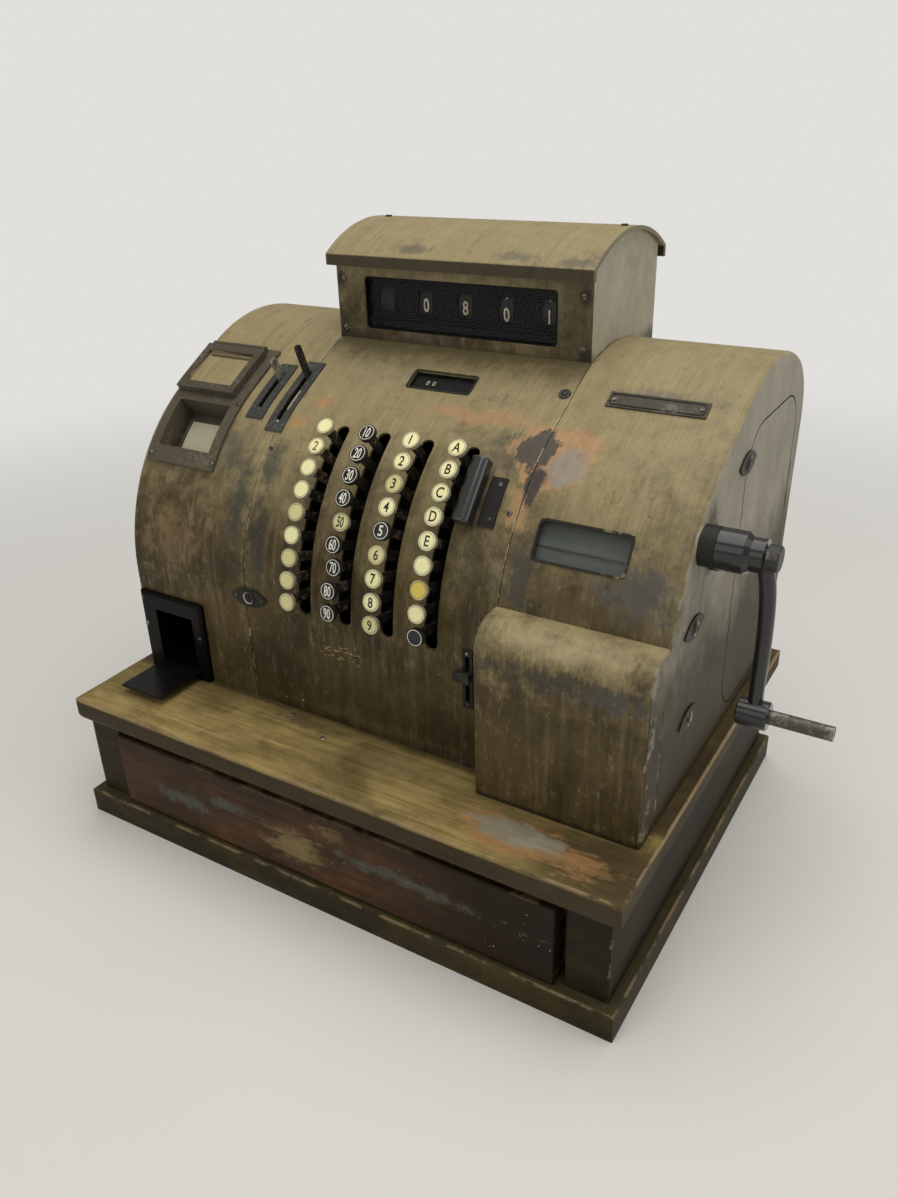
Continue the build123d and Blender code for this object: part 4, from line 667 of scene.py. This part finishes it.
def pane(name, colour, dust, clear):
    made = Finish(name, Specular_IOR_Level=0.5, Coat_Weight=0.4, Coat_Roughness=0.03, Alpha=1.0 - clear)
    dirt = made.noise((25, 25, 25), 5.0, 0.7)
    return made.done(made.mix(dirt.step(0.35, 0.75), colour, dust), 0.08 + 0.25 * dirt.step(0.5, 0.9))


def pane_zone(x, y, z):
    """1 on the pane over the paper strip, 2 on the counter's and 0 on the indicator's."""
    return 1 if x > 120.0 else 0 if z > 458.0 else 2


clear_glass = pane("display_glass", (0.01, 0.012, 0.013), (0.03, 0.031, 0.03), 0.93)
strip_glass = pane("strip_glass", (0.09, 0.105, 0.098), (0.13, 0.145, 0.13), 0.85)
counter_glass = pane("counter_glass", (0.025, 0.027, 0.024), (0.06, 0.062, 0.054), 0.88)
dress("glass_panes", clear_glass, strip_glass, counter_glass, choose=pane_zone, slot="window_glass")

# ---------------------------------------------------------------- paper strip
# A strip of greyed paper under the wide pane, which follows the covers' curve and carries
# one dark line across it.


def skin(x, angle, lift=0.0):
    """Place over the covers in millimetres, at an angle up the keyboard's curve and a height."""
    turn = math.radians(angle)
    reach = BROW_RADIUS + lift
    if angle > ROOF_FROM:
        reach /= math.cos(math.radians(angle - ROOF_FROM))
    return Vector((x, BROW_Y - reach * math.cos(turn), BROW_Z + reach * math.sin(turn)))


def piece(name, shape, finishes, body="root", slot=None, sharp=35.0):
    """Closes a bmesh into a finished piece that rides on a body."""
    bmesh.ops.recalc_face_normals(shape, faces=shape.faces)
    mesh = bpy.data.meshes.new(name)
    shape.to_mesh(mesh)
    shape.free()
    for finish in finishes:
        mesh.materials.append(finish.material)
    mesh.shade_smooth()
    mesh.set_sharp_from_angle(angle=math.radians(sharp))
    made = bpy.data.objects.new(name, mesh)
    bpy.context.scene.collection.objects.link(made)
    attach(made, body)


def skin_sheet(shape, x_low, x_high, low, high, lift, thick, material=0, steps=12):
    """Adds a thin sheet that follows the covers between two ends and two angles."""
    grid = bmesh.ops.create_grid(shape, x_segments=2, y_segments=steps, size=0.5)
    for vert in grid["verts"]:
        across, up = vert.co.x + 0.5, vert.co.y + 0.5
        vert.co = skin(x_low + (x_high - x_low) * across, low + (high - low) * up, lift) * MM
    faces = list({face for vert in grid["verts"] for face in vert.link_faces})
    bmesh.ops.recalc_face_normals(shape, faces=faces)
    if sum(face.normal.z for face in faces) < 0:
        bmesh.ops.reverse_faces(shape, faces=faces)
    solid = bmesh.ops.solidify(shape, geom=faces, thickness=-thick * MM)
    for face in {*faces, *(g for g in solid["geom"] if isinstance(g, bmesh.types.BMFace))}:
        face.material_index = material


strip_paper = Finish("strip_paper", Specular_IOR_Level=0.1)
strip_colour = strip_paper.mix(strip_paper.noise((30, 30, 30)), (0.1, 0.115, 0.1), (0.16, 0.175, 0.15))
strip_fibre = strip_paper.noise((900, 900, 900), 3.0, 0.6)
strip_paper.done(strip_colour, 0.7 + 0.2 * strip_fibre, None, strip_fibre, 0.00002)
dark_line = old_metal("dark_line", (0.01, 0.01, 0.01), (0.02, 0.02, 0.02), 0.6)
strip = bmesh.new()
skin_sheet(strip, 151, 235, 27.2, 40.5, -9.0, 0.4)
skin_sheet(strip, 153, 233, 32.4, 33.0, -7.6, 0.5, 1, 2)
piece("paper_strip", strip, (strip_paper, dark_line))

# ---------------------------------------------------------------- number wheels
# Five black wheels on one shaft with figures painted in cream, which show through the mask.
# The first wheel shows a blank face, and some of the others stand a little off their place.
WHEEL_AXIS_Y = 99.0
WHEEL_AXIS_Z = 486.5
WHEEL_RADIUS = 30.0
WHEEL_PITCH = 42.2
WHEEL_MIDDLE = 2.0
FIGURE_LIFT = 0.1
LEGEND_DEEP = 0.12
SHOWN = ((None, 0), ("0", 1), ("8", 0), ("0", 5), ("1", 3))  # figure in front, and its slip in degrees
wheel_white = old_metal("numeral_white", (0.62, 0.56, 0.38), (0.8, 0.75, 0.56), 0.5, 0.0, 0.5)
wheel_black = Finish("wheel_black", Specular_IOR_Level=0.4)
wheel_clouds = wheel_black.noise((40, 40, 40))
wheel_rings = wheel_black.noise((900, 30, 30), 3.0, 0.6)
wheel_colour = wheel_black.mix(wheel_clouds, (0.006, 0.0065, 0.007), (0.02, 0.02, 0.019))
wheel_black.done(wheel_colour, 0.4 + 0.2 * wheel_rings, None, wheel_rings, 0.0001)
dress("indicator_wheels", wheel_black, slot="wheel_paint")


def facing(place, out, along=(1, 0, 0)):
    """Matrix that stands a piece at a place in millimetres, its own z pointing out and x along."""
    z = Vector(out).normalized()
    y = z.cross(Vector(along)).normalized()
    turned = Matrix((y.cross(z), y, z)).transposed().to_4x4()
    return Matrix.Translation(Vector(place) * MM) @ turned


def legend(shape, text, size, matrix, material, squeeze, bold):
    """Adds a raised figure or letter, centred on a matrix, its size in millimetres."""
    curve = bpy.data.curves.new("legend", "FONT")
    curve.body = text
    curve.size = size * MM
    curve.extrude = LEGEND_DEEP * MM / 2
    curve.offset = bold * MM
    curve.resolution_u = 3
    curve.align_x = "CENTER"
    written = bpy.data.objects.new("legend", curve)
    bpy.context.scene.collection.objects.link(written)
    flat = bpy.data.meshes.new_from_object(written)
    bpy.data.objects.remove(written)
    bpy.data.curves.remove(curve)
    low = min(v.co.y for v in flat.vertices)
    high = max(v.co.y for v in flat.vertices)
    middle = Matrix.Diagonal((squeeze, 1.0, 1.0, 1.0)) @ Matrix.Translation((0.0, -(low + high) / 2, 0.0))
    flat.transform(matrix @ middle)
    before = len(shape.faces)
    shape.from_mesh(flat)
    shape.faces.ensure_lookup_table()
    for face in shape.faces[before:]:
        face.material_index = material
    bpy.data.meshes.remove(flat)


for number, (shown, slip) in enumerate(SHOWN):
    drum = bmesh.new()
    drum_x = WHEEL_MIDDLE + WHEEL_PITCH * (number - 2)
    first = int(shown or 0)
    for digit in range(0 if shown else 1, 10):
        turn = math.radians(36.0 * (digit - first) + slip)
        out = Vector((0.0, -math.cos(turn), -math.sin(turn)))
        spot = Vector((drum_x, WHEEL_AXIS_Y, WHEEL_AXIS_Z)) + out * (WHEEL_RADIUS + FIGURE_LIFT)
        legend(drum, str(digit), 17.5, facing(spot, out), 0, 0.72, 0.2)
    piece(f"wheel_figures_{number + 1}", drum, (wheel_white,), "wheels", "wheel_paint")

# ---------------------------------------------------------------- indicator mask and bezel
# A black sheet with an opening for each figure stands before the wheels, over a shallow
# moulded sill, and a thin black bezel lies round the window.
MASK_Y = 67.6
MASK_OPENING = 15.0
MASK_HEIGHT = 24.0
MASK_Z = 488.0
window_dark = ((0.005, 0.0055, 0.006), (0.012, 0.0125, 0.013))
window_black = old_metal("window_surround", *window_dark, 0.64, 0.0, 0.45, 0.15, 0.00003)


def at(x, y, z):
    """Matrix that moves a piece to a place in millimetres."""
    return Matrix.Translation(Vector((x, y, z)) * MM)


def block(shape, size, matrix, edge=0.3, material=0):
    """Adds a box of a size in millimetres with rounded edges."""
    scaled = matrix @ Matrix.Diagonal((*(s * MM for s in size), 1.0))
    made = bmesh.ops.create_cube(shape, size=1.0, matrix=scaled)
    edges = list({e for v in made["verts"] for e in v.link_edges})
    for face in {f for v in made["verts"] for f in v.link_faces}:
        face.material_index = material
    if edge:
        bmesh.ops.bevel(
            shape, geom=edges, offset=edge * MM, segments=2, profile=0.5, affect="EDGES", material=-1
        )


def rounded_rim(shape, width, height, corner, band, deep, matrix):
    """Adds a flat ring with rounded corners, raised along its own z."""
    x, y = width * MM / 2, height * MM / 2
    verts = [shape.verts.new((*corner_place, 0)) for corner_place in ((-x, -y), (x, -y), (x, y), (-x, y))]
    face = shape.faces.new(verts)
    before = set(shape.faces) - {face}
    bmesh.ops.bevel(
        shape, geom=verts, offset=corner * MM, segments=5, profile=0.5, affect="VERTICES", material=-1
    )
    face = next(f for f in shape.faces if f not in before)
    bmesh.ops.inset_region(shape, faces=[face], thickness=band * MM, use_boundary=True)
    ring = [f for f in shape.faces if f not in before and f is not face]
    bmesh.ops.delete(shape, geom=[face], context="FACES")
    lifted = bmesh.ops.extrude_face_region(shape, geom=ring)
    top = [g for g in lifted["geom"] if isinstance(g, bmesh.types.BMVert)]
    bmesh.ops.translate(shape, verts=top, vec=(0, 0, deep * MM))
    every = {v for f in shape.faces if f not in before for v in f.verts}
    bmesh.ops.transform(shape, matrix=matrix, verts=list(every))


FRONT = (0, -1, 0)
RIGHT = (1, 0, 0)
UP = (0, 0, 1)
sill = bmesh.new()
block(sill, (200, 3.5, 9), at(0, 64.6, 466.0), 0.8)
block(sill, (200, 1.2, 2), at(0, 62.9, 472.5), 0.3)
mask_bars = [(WHEEL_PITCH - MASK_OPENING, WHEEL_MIDDLE + WHEEL_PITCH * (n - 2.5)) for n in range(1, 5)]
for wide, high, x, z in (
    (196, 11, 0, 505.0),
    (196, 13, 0, 469.5),
    *((wide, MASK_HEIGHT, x, MASK_Z) for wide, x in (*mask_bars, (8, -96), (6, 96.5))),
):
    block(sill, (wide, 0.8, high), at(x, MASK_Y, z), 0)
piece("display_sill", sill, (window_black,))

bezel = bmesh.new()
rounded_rim(bezel, 200.8, 47.8, 4.0, 1.1, 2.2, facing((-0.5, 59.9, 486.5), FRONT))
piece("display_bezel", bezel, (window_black,))

# ---------------------------------------------------------------- counter and window rims
# Two small figures stand on a black sheet behind the counter's pane. Thin worn brown rims
# with rounded corners lie round the two windows in the covers.


def on_skin(x, angle, lift=0.0):
    """Matrix that stands a piece on the covers, at an angle up the keyboard's curve."""
    turn = math.radians(min(angle, ROOF_FROM))
    return facing(skin(x, angle, lift), (0, -math.cos(turn), math.sin(turn)))


counter = bmesh.new()
skin_sheet(counter, -24.5, 39.5, 69.8, 75.8, -5.7, 0.3)
for index, text in enumerate(("8", "0")):
    legend(counter, text, 7.5, on_skin(-10.0 + 6.5 * index, 73.6, -5.15), 1, 0.9, 0.15)
piece("counter_wheels", counter, (window_black, wheel_white))

rim_brown = old_metal("window_rim_brown", (0.022, 0.019, 0.012), (0.2, 0.175, 0.105), 0.6, 0.1, 0.35)
rims = bmesh.new()
rounded_rim(rims, 66.9, 23.9, 3.2, 1.7, 0.5, on_skin(7.5, 72.8, 0.15))
rounded_rim(rims, 79.8, 35.2, 6.5, 2.0, 0.5, on_skin(193.0, 33.9, -0.45))
piece("window_rims", rims, (rim_brown,))

# ---------------------------------------------------------------- slip recess plate and lever scale
# A pale plate lies at the foot of the open slip recess, and a bright worn arc runs beside the
# long lever's slot.
plate_paper = Finish("recess_plate_grey", Specular_IOR_Level=0.3)
plate_stain = plate_paper.noise((40, 40, 40), 5.0, 0.6)
plate_colour = plate_paper.mix(plate_stain, (0.46, 0.43, 0.31), (0.56, 0.53, 0.4))
plate_paper.done(plate_colour, 0.35 + 0.3 * plate_stain, None, plate_paper.noise((700, 700, 700)), 0.00008)
recess = bmesh.new()
skin_sheet(recess, -253, -203, 39.2, 50.2, -20.4, 0.8)
block(recess, (54, 1.2, 2.4), on_skin(-228, 39.2, -19.6), 0.4, 1)
block(recess, (1.2, 36, 2.4), on_skin(-254.5, 44.5, -19.6), 0.4, 1)
piece("recess_plate", recess, (plate_paper, slip_black))

scale_pale = old_metal("scale_pale", (0.36, 0.34, 0.27), (0.5, 0.48, 0.4), 0.5, 0.2, 0.3)
scale = bmesh.new()
skin_sheet(scale, -130.4, -128.8, 55.5, 62.5, 1.5, 0.5)
piece("lever_scale", scale, (scale_pale,))

# ---------------------------------------------------------------- screws
# Round-headed steel screws with a cut slot hold every plate and frame, darkened in their
# slots and bright on their crowns.
BOARD_TOP = 136.0
HOOD_TOP = 554.6
PLATE_FACE = 279.1
SIDE_LOCKS = ((41.0, 391.0), (-63.5, 291.0), (-57.0, 205.0))
screw_steel = old_metal("screw_steel", (0.1, 0.092, 0.075), (0.4, 0.385, 0.33), 0.52, 0.7, 0.3)
slot_dark = old_metal("screw_slot", (0.008, 0.007, 0.006), (0.02, 0.018, 0.015), 0.62)


def raised(matrix, height):
    """Matrix moved out along its own z by some millimetres."""
    return matrix @ Matrix.Translation((0.0, 0.0, height * MM))


def cone(shape, radii, depth, matrix, segments=32):
    """Adds a turned length about a matrix's z, with its inner and its outer end's radius."""
    low, high = (r * MM for r in radii)
    return bmesh.ops.create_cone(
        shape, cap_ends=True, segments=segments, radius1=low, radius2=high, depth=depth * MM, matrix=matrix
    )


def outer_end(turned, matrix):
    """The flat outer end of a turned length."""
    ends = {f for v in turned["verts"] for f in v.link_faces if len(f.verts) > 4}
    return max(ends, key=lambda f: f.calc_center_median().dot(matrix.col[2].xyz))


def screw(shape, matrix, radius, turn, high=0.5):
    """Adds a domed head, so many radii high, with a slot turned by some degrees."""
    depth = radius * high
    seat = raised(matrix, depth / 2)
    head = cone(shape, (radius, radius * 0.93), depth, seat, 20)
    crown = list(outer_end(head, seat).edges)
    bmesh.ops.bevel(
        shape, geom=crown, offset=radius * MM * 0.3, segments=3, profile=0.5, affect="EDGES", material=-1
    )
    groove = raised(matrix @ Matrix.Rotation(math.radians(turn), 4, "Z"), depth * 0.93)
    block(shape, (radius * 1.7, radius * 0.26, radius * 0.2), groove, 0, 1)


screws = bmesh.new()
for x, angle, lift, radius, turn in (
    (-266.5, 35.6, 3.0, 2.4, 20),
    (-187.5, 35.6, 3.0, 2.4, 75),
    (-187.5, 54.6, 3.0, 2.4, 40),
    (-163.0, 54.6, 1.5, 1.6, 10),
    (-134.0, 51.4, 1.5, 1.8, 65),
    (-163.0, 69.3, 1.5, 1.6, 35),
    (111.2, 44.8, 2.0, 1.9, 30),
    (111.2, 36.0, 2.0, 1.9, 80),
    (126.0, 38.5, 0.0, 2.6, 55),
    (-127.5, 43.5, 0.0, 2.2, 15),
    (170.0, 74.0, 1.5, 2.2, 25),
    (244.0, 74.0, 1.5, 2.2, 60),
):
    screw(screws, on_skin(x, angle, lift), radius, turn)
for place, radius, turn in (
    ((-267.0, -126.7, 186.0), 2.2, 30),
    ((-194.5, -126.7, 186.0), 2.2, 70),
    ((-267.0, -126.7, 215.0), 2.0, 50),
    ((-141.5, -122.2, 246.0), 1.8, 15),
    ((-110.5, -122.2, 246.0), 1.8, 80),
    ((-124.5, 57.4, 462.0), 3.0, 35),
    ((124.5, 57.4, 462.0), 3.0, 60),
    ((124.5, 57.4, 507.0), 2.8, 20),
    ((-124.5, 57.4, 507.0), 2.4, 5),
    ((110.0, -122.1, 250.5), 1.6, 45),
    ((110.0, -122.1, 201.5), 1.6, 0),
):
    screw(screws, facing(place, FRONT), radius, turn)
for y, z in SIDE_LOCKS:
    for side in (-1, 1):
        screw(screws, facing((PLATE_FACE, y + 16.0 * side, z), RIGHT), 1.8, 40 * side + y)
for x, y, radius in ((-31.0, -148.0, 2.6), (-80.0, -130.0, 2.2)):
    screw(screws, facing((x, y, BOARD_TOP), UP), radius, 25, 0.2)
piece("cover_screws", screws, (screw_steel, slot_dark))

hood_screws = bmesh.new()
for x in (-120.0, 127.0):
    screw(hood_screws, facing((x, 130.5, HOOD_TOP), UP), 3.4, 30)
piece("hood_screws", hood_screws, (latch_black, slot_dark))

# ---------------------------------------------------------------- lid catches
# Two small spring catches at the lid's lower corners and a finger lip under its upper edge,
# bent from thin steel in the frame's paint.
lid_catches = bmesh.new()
for x in (-255.5, -207.5):
    block(lid_catches, (9.0, 1.2, 0.5), on_skin(x, 58.4, 10.35), 0.2)
block(lid_catches, (50.0, 2.0, 1.0), on_skin(-231.5, 69.6, 7.6), 0.4)
piece("lid_catches", lid_catches, (slip_black,), "lid", "frame_paint")

# ---------------------------------------------------------------- ringed screw
# One larger screw stands in a turned collar on the sloping roof, beside the indicator housing.
# Its head and collar are the grey steel of the trim plates.
ROOF_SLOPE = math.radians(29.5)
ringed = bmesh.new()
ring_seat = facing((126.0, 19.5, 434.2), (0, -math.sin(ROOF_SLOPE), math.cos(ROOF_SLOPE)))
cone(ringed, (5.6, 5.2), 1.6, ring_seat, 28)
screw(ringed, raised(ring_seat, 0.8), 3.2, 50)
piece("ringed_screw", ringed, (plate_grey, slot_dark))

# ---------------------------------------------------------------- locks
# Each lock is a turned steel barrel in a sleeve with nickel ends, on a pointed escutcheon, with
# a narrow keyway. One is in front and three are in the right end.
SLEEVE_RADII = (10.0, 8.6)
SLEEVE_LENGTH = 3.4
BARREL_RADIUS = 6.3
BARREL_LENGTH = 5.0
BARREL_WALL = 1.5
BARREL_SINK = 0.9
KEYWAY = (1.5, 8.0, 0.6)
KEYWAY_LIFT = 1.75
SLEEVE_END = 200 * MM**2  # the sleeve's flat ends are larger than this
locks = bmesh.new()
lock_seats = [facing((-126.0, -120.6, 246.0), FRONT)]
lock_seats += [facing((277.6, y, z), RIGHT, (0, 1, 0)) for y, z in SIDE_LOCKS]
for seat in lock_seats:
    cone(locks, SLEEVE_RADII, SLEEVE_LENGTH, seat)
    barrel = cone(locks, (BARREL_RADIUS, BARREL_RADIUS), BARREL_LENGTH, seat)
    face = outer_end(barrel, seat)
    bmesh.ops.inset_region(locks, faces=[face], thickness=BARREL_WALL * MM)
    bmesh.ops.translate(locks, verts=list(face.verts), vec=seat.col[2].xyz * -BARREL_SINK * MM)
    block(locks, KEYWAY, raised(seat, KEYWAY_LIFT), 0.1, 1)
for face in locks.faces:
    if len(face.verts) == 32 and face.calc_area() > SLEEVE_END:
        face.material_index = 2
piece("lock_barrels", locks, (ring_steel, slot_dark, lock_nickel), slot="plate_steel")

# ---------------------------------------------------------------- nameplate
# A bare steel strip with a raised border, held by two screws. The strip is one of the trim
# plates, and only the border is added here.
border = bmesh.new()
rounded_rim(border, 80.0, 13.0, 3.0, 1.2, 0.6, on_skin(207.0, 74.06, 1.5))
piece("nameplate_border", border, (lock_nickel,), slot="plate_steel")

# ---------------------------------------------------------------- key tops
# Each key is a nickel or black cup on a flat steel stem. The cup holds a card under a domed
# clear disc: ivory with dark figures, black with white figures, and one yellow.
COLUMN_X = (-59.9, -15.3, 29.3, 73.9)
KEY_TOP_ANGLE = 48.8
KEY_PITCH = 5.22
KEY_LIFT = 25.0
CUP_DEPTH = 4.2
DISC_RADII = (7.35, 7.2)
DISC_THICK = 0.7
DISC_SINK = 0.05
LEGEND_LIFT = 0.49
DARK_RINGS = ((0.15, 0.02, 0), (0.6, 0.04, 2))  # band's width, rise and finish, from the edge inwards
LIGHT_RINGS = ((0.4, 0.02, 0), (0.4, 0.02, 2))
DOME = ((1.6, 0.08, 0), (1.6, 0.04, 0))
SUNK = {"2_5": 5.0, "2_7": 5.0}
DARK = ("2_1", "2_2", "2_3", "2_4", "2_6", "2_7", "2_8", "2_9", "3_5", "4_9")
AGED = ("1_5", "1_7", "1_8", "1_9", "2_5", "3_3", "3_6", "3_9")
LEGENDS = (
    ("", "2", "", "", "", "", "", "", ""),
    ("10", "20", "30", "40", "50", "60", "70", "80", "90"),
    ("1", "2", "3", "4", "5", "6", "7", "8", "9"),
    ("A", "B", "C", "D", "E", "", "", "", ""),
)
# the stems are near-black as painted shade of the key slots, with worn tan flecks
shaded_stem_steel = old_metal("key_stem_shaded_steel", (0.01, 0.009, 0.007), (0.2, 0.15, 0.09), 0.555, 0.1, 0.45)
cup_nickel = old_metal("key_cup_nickel", (0.46, 0.43, 0.28), (0.62, 0.59, 0.42), 0.5, 0.5, 0.3)
cup_black = old_metal("key_cup_black", (0.02, 0.019, 0.017), (0.12, 0.11, 0.09), 0.6, 0.2, 0.35)


def card(name, inner, outer):
    made = Finish(name, Coat_Weight=0.25, Coat_Roughness=0.08, Specular_IOR_Level=0.25)
    yellowing = made.noise((70, 70, 70), 4.0, 0.6, 0.3)
    fibre = made.noise((700, 700, 700), 3.0, 0.6)
    return made.done(made.mix(yellowing, inner, outer), 0.2 + 0.15 * yellowing, None, fibre, 0.00003)


def cup_or_stem(seat):
    """Picks 0 on a key's cup and 1 on the stem below it."""
    centre, out = seat.translation / MM, seat.col[2].xyz
    return lambda x, y, z: 0 if (y - centre.y) * out.y + (z - centre.z) * out.z > -CUP_DEPTH else 1


ivory = card("ivory_card", (0.97, 0.94, 0.56), (0.93, 0.88, 0.44))
aged_ivory = card("aged_ivory_card", (0.8, 0.74, 0.36), (0.66, 0.6, 0.28))
ring_ink = card("card_ring_ink", (0.12, 0.1, 0.05), (0.08, 0.07, 0.035))
yellow = card("yellow_card", (0.82, 0.66, 0.14), (0.7, 0.52, 0.1))
black = card("black_card", (0.012, 0.012, 0.012), (0.022, 0.021, 0.02))
ink = card("card_ink", (0.03, 0.024, 0.018), (0.05, 0.04, 0.03))
rust_ink = card("card_rust_ink", (0.34, 0.16, 0.06), (0.28, 0.12, 0.05))
chalk = card("card_white", (0.86, 0.85, 0.72), (0.74, 0.72, 0.6))
for column, row_legends in enumerate(LEGENDS):
    for row, text in enumerate(row_legends):
        name = f"{column + 1}_{row + 1}"
        seat = on_skin(COLUMN_X[column], KEY_TOP_ANGLE - KEY_PITCH * row, KEY_LIFT - SUNK.get(name, 0.0))
        if name in DARK:
            cup, face, writing, line, slot_name = cup_black, black, chalk, chalk, "black_key"
        else:
            cup, face, writing, line, slot_name = cup_nickel, ivory, ink, ring_ink, "ivory_key"
        if name in AGED:
            face = aged_ivory
        if name == "4_7":
            face = yellow
        if name == "1_2":
            writing = rust_ink
        dress(f"key_{name}", cup, shaded_stem_steel, choose=cup_or_stem(seat), slot=slot_name)
        top = bmesh.new()
        crown = outer_end(cone(top, DISC_RADII, DISC_THICK, raised(seat, -DISC_SINK), 36), seat)
        for band, rise, material in (*(DARK_RINGS if name in DARK else LIGHT_RINGS), *DOME):
            before = set(top.faces)
            bmesh.ops.inset_region(top, faces=[crown], thickness=band * MM)
            for ring_face in set(top.faces) - before:
                ring_face.material_index = material
            bmesh.ops.translate(top, verts=list(crown.verts), vec=seat.col[2].xyz * MM * rise)
        if text:
            size, squeeze = (13.0, 0.55) if len(text) == 2 else (12.5, 0.8)
            legend(top, text, size, raised(seat, LEGEND_LIFT), 1, squeeze, 0.22)
        piece(f"key_top_{name}", top, (face, writing, line), f"key_{name}", slot_name, 50.0)

# ---------------------------------------------------------------- crank stop
# A small cast lug stands on the right end below the crank's boss. The crank turns without
# end and its arm clears the lug.
lug = bmesh.new()
block(lug, (9.0, 9.0, 14.0), at(282.0, -36.0, 337.0), 1.5)
piece("crank_stop", lug, (nut_grey,))
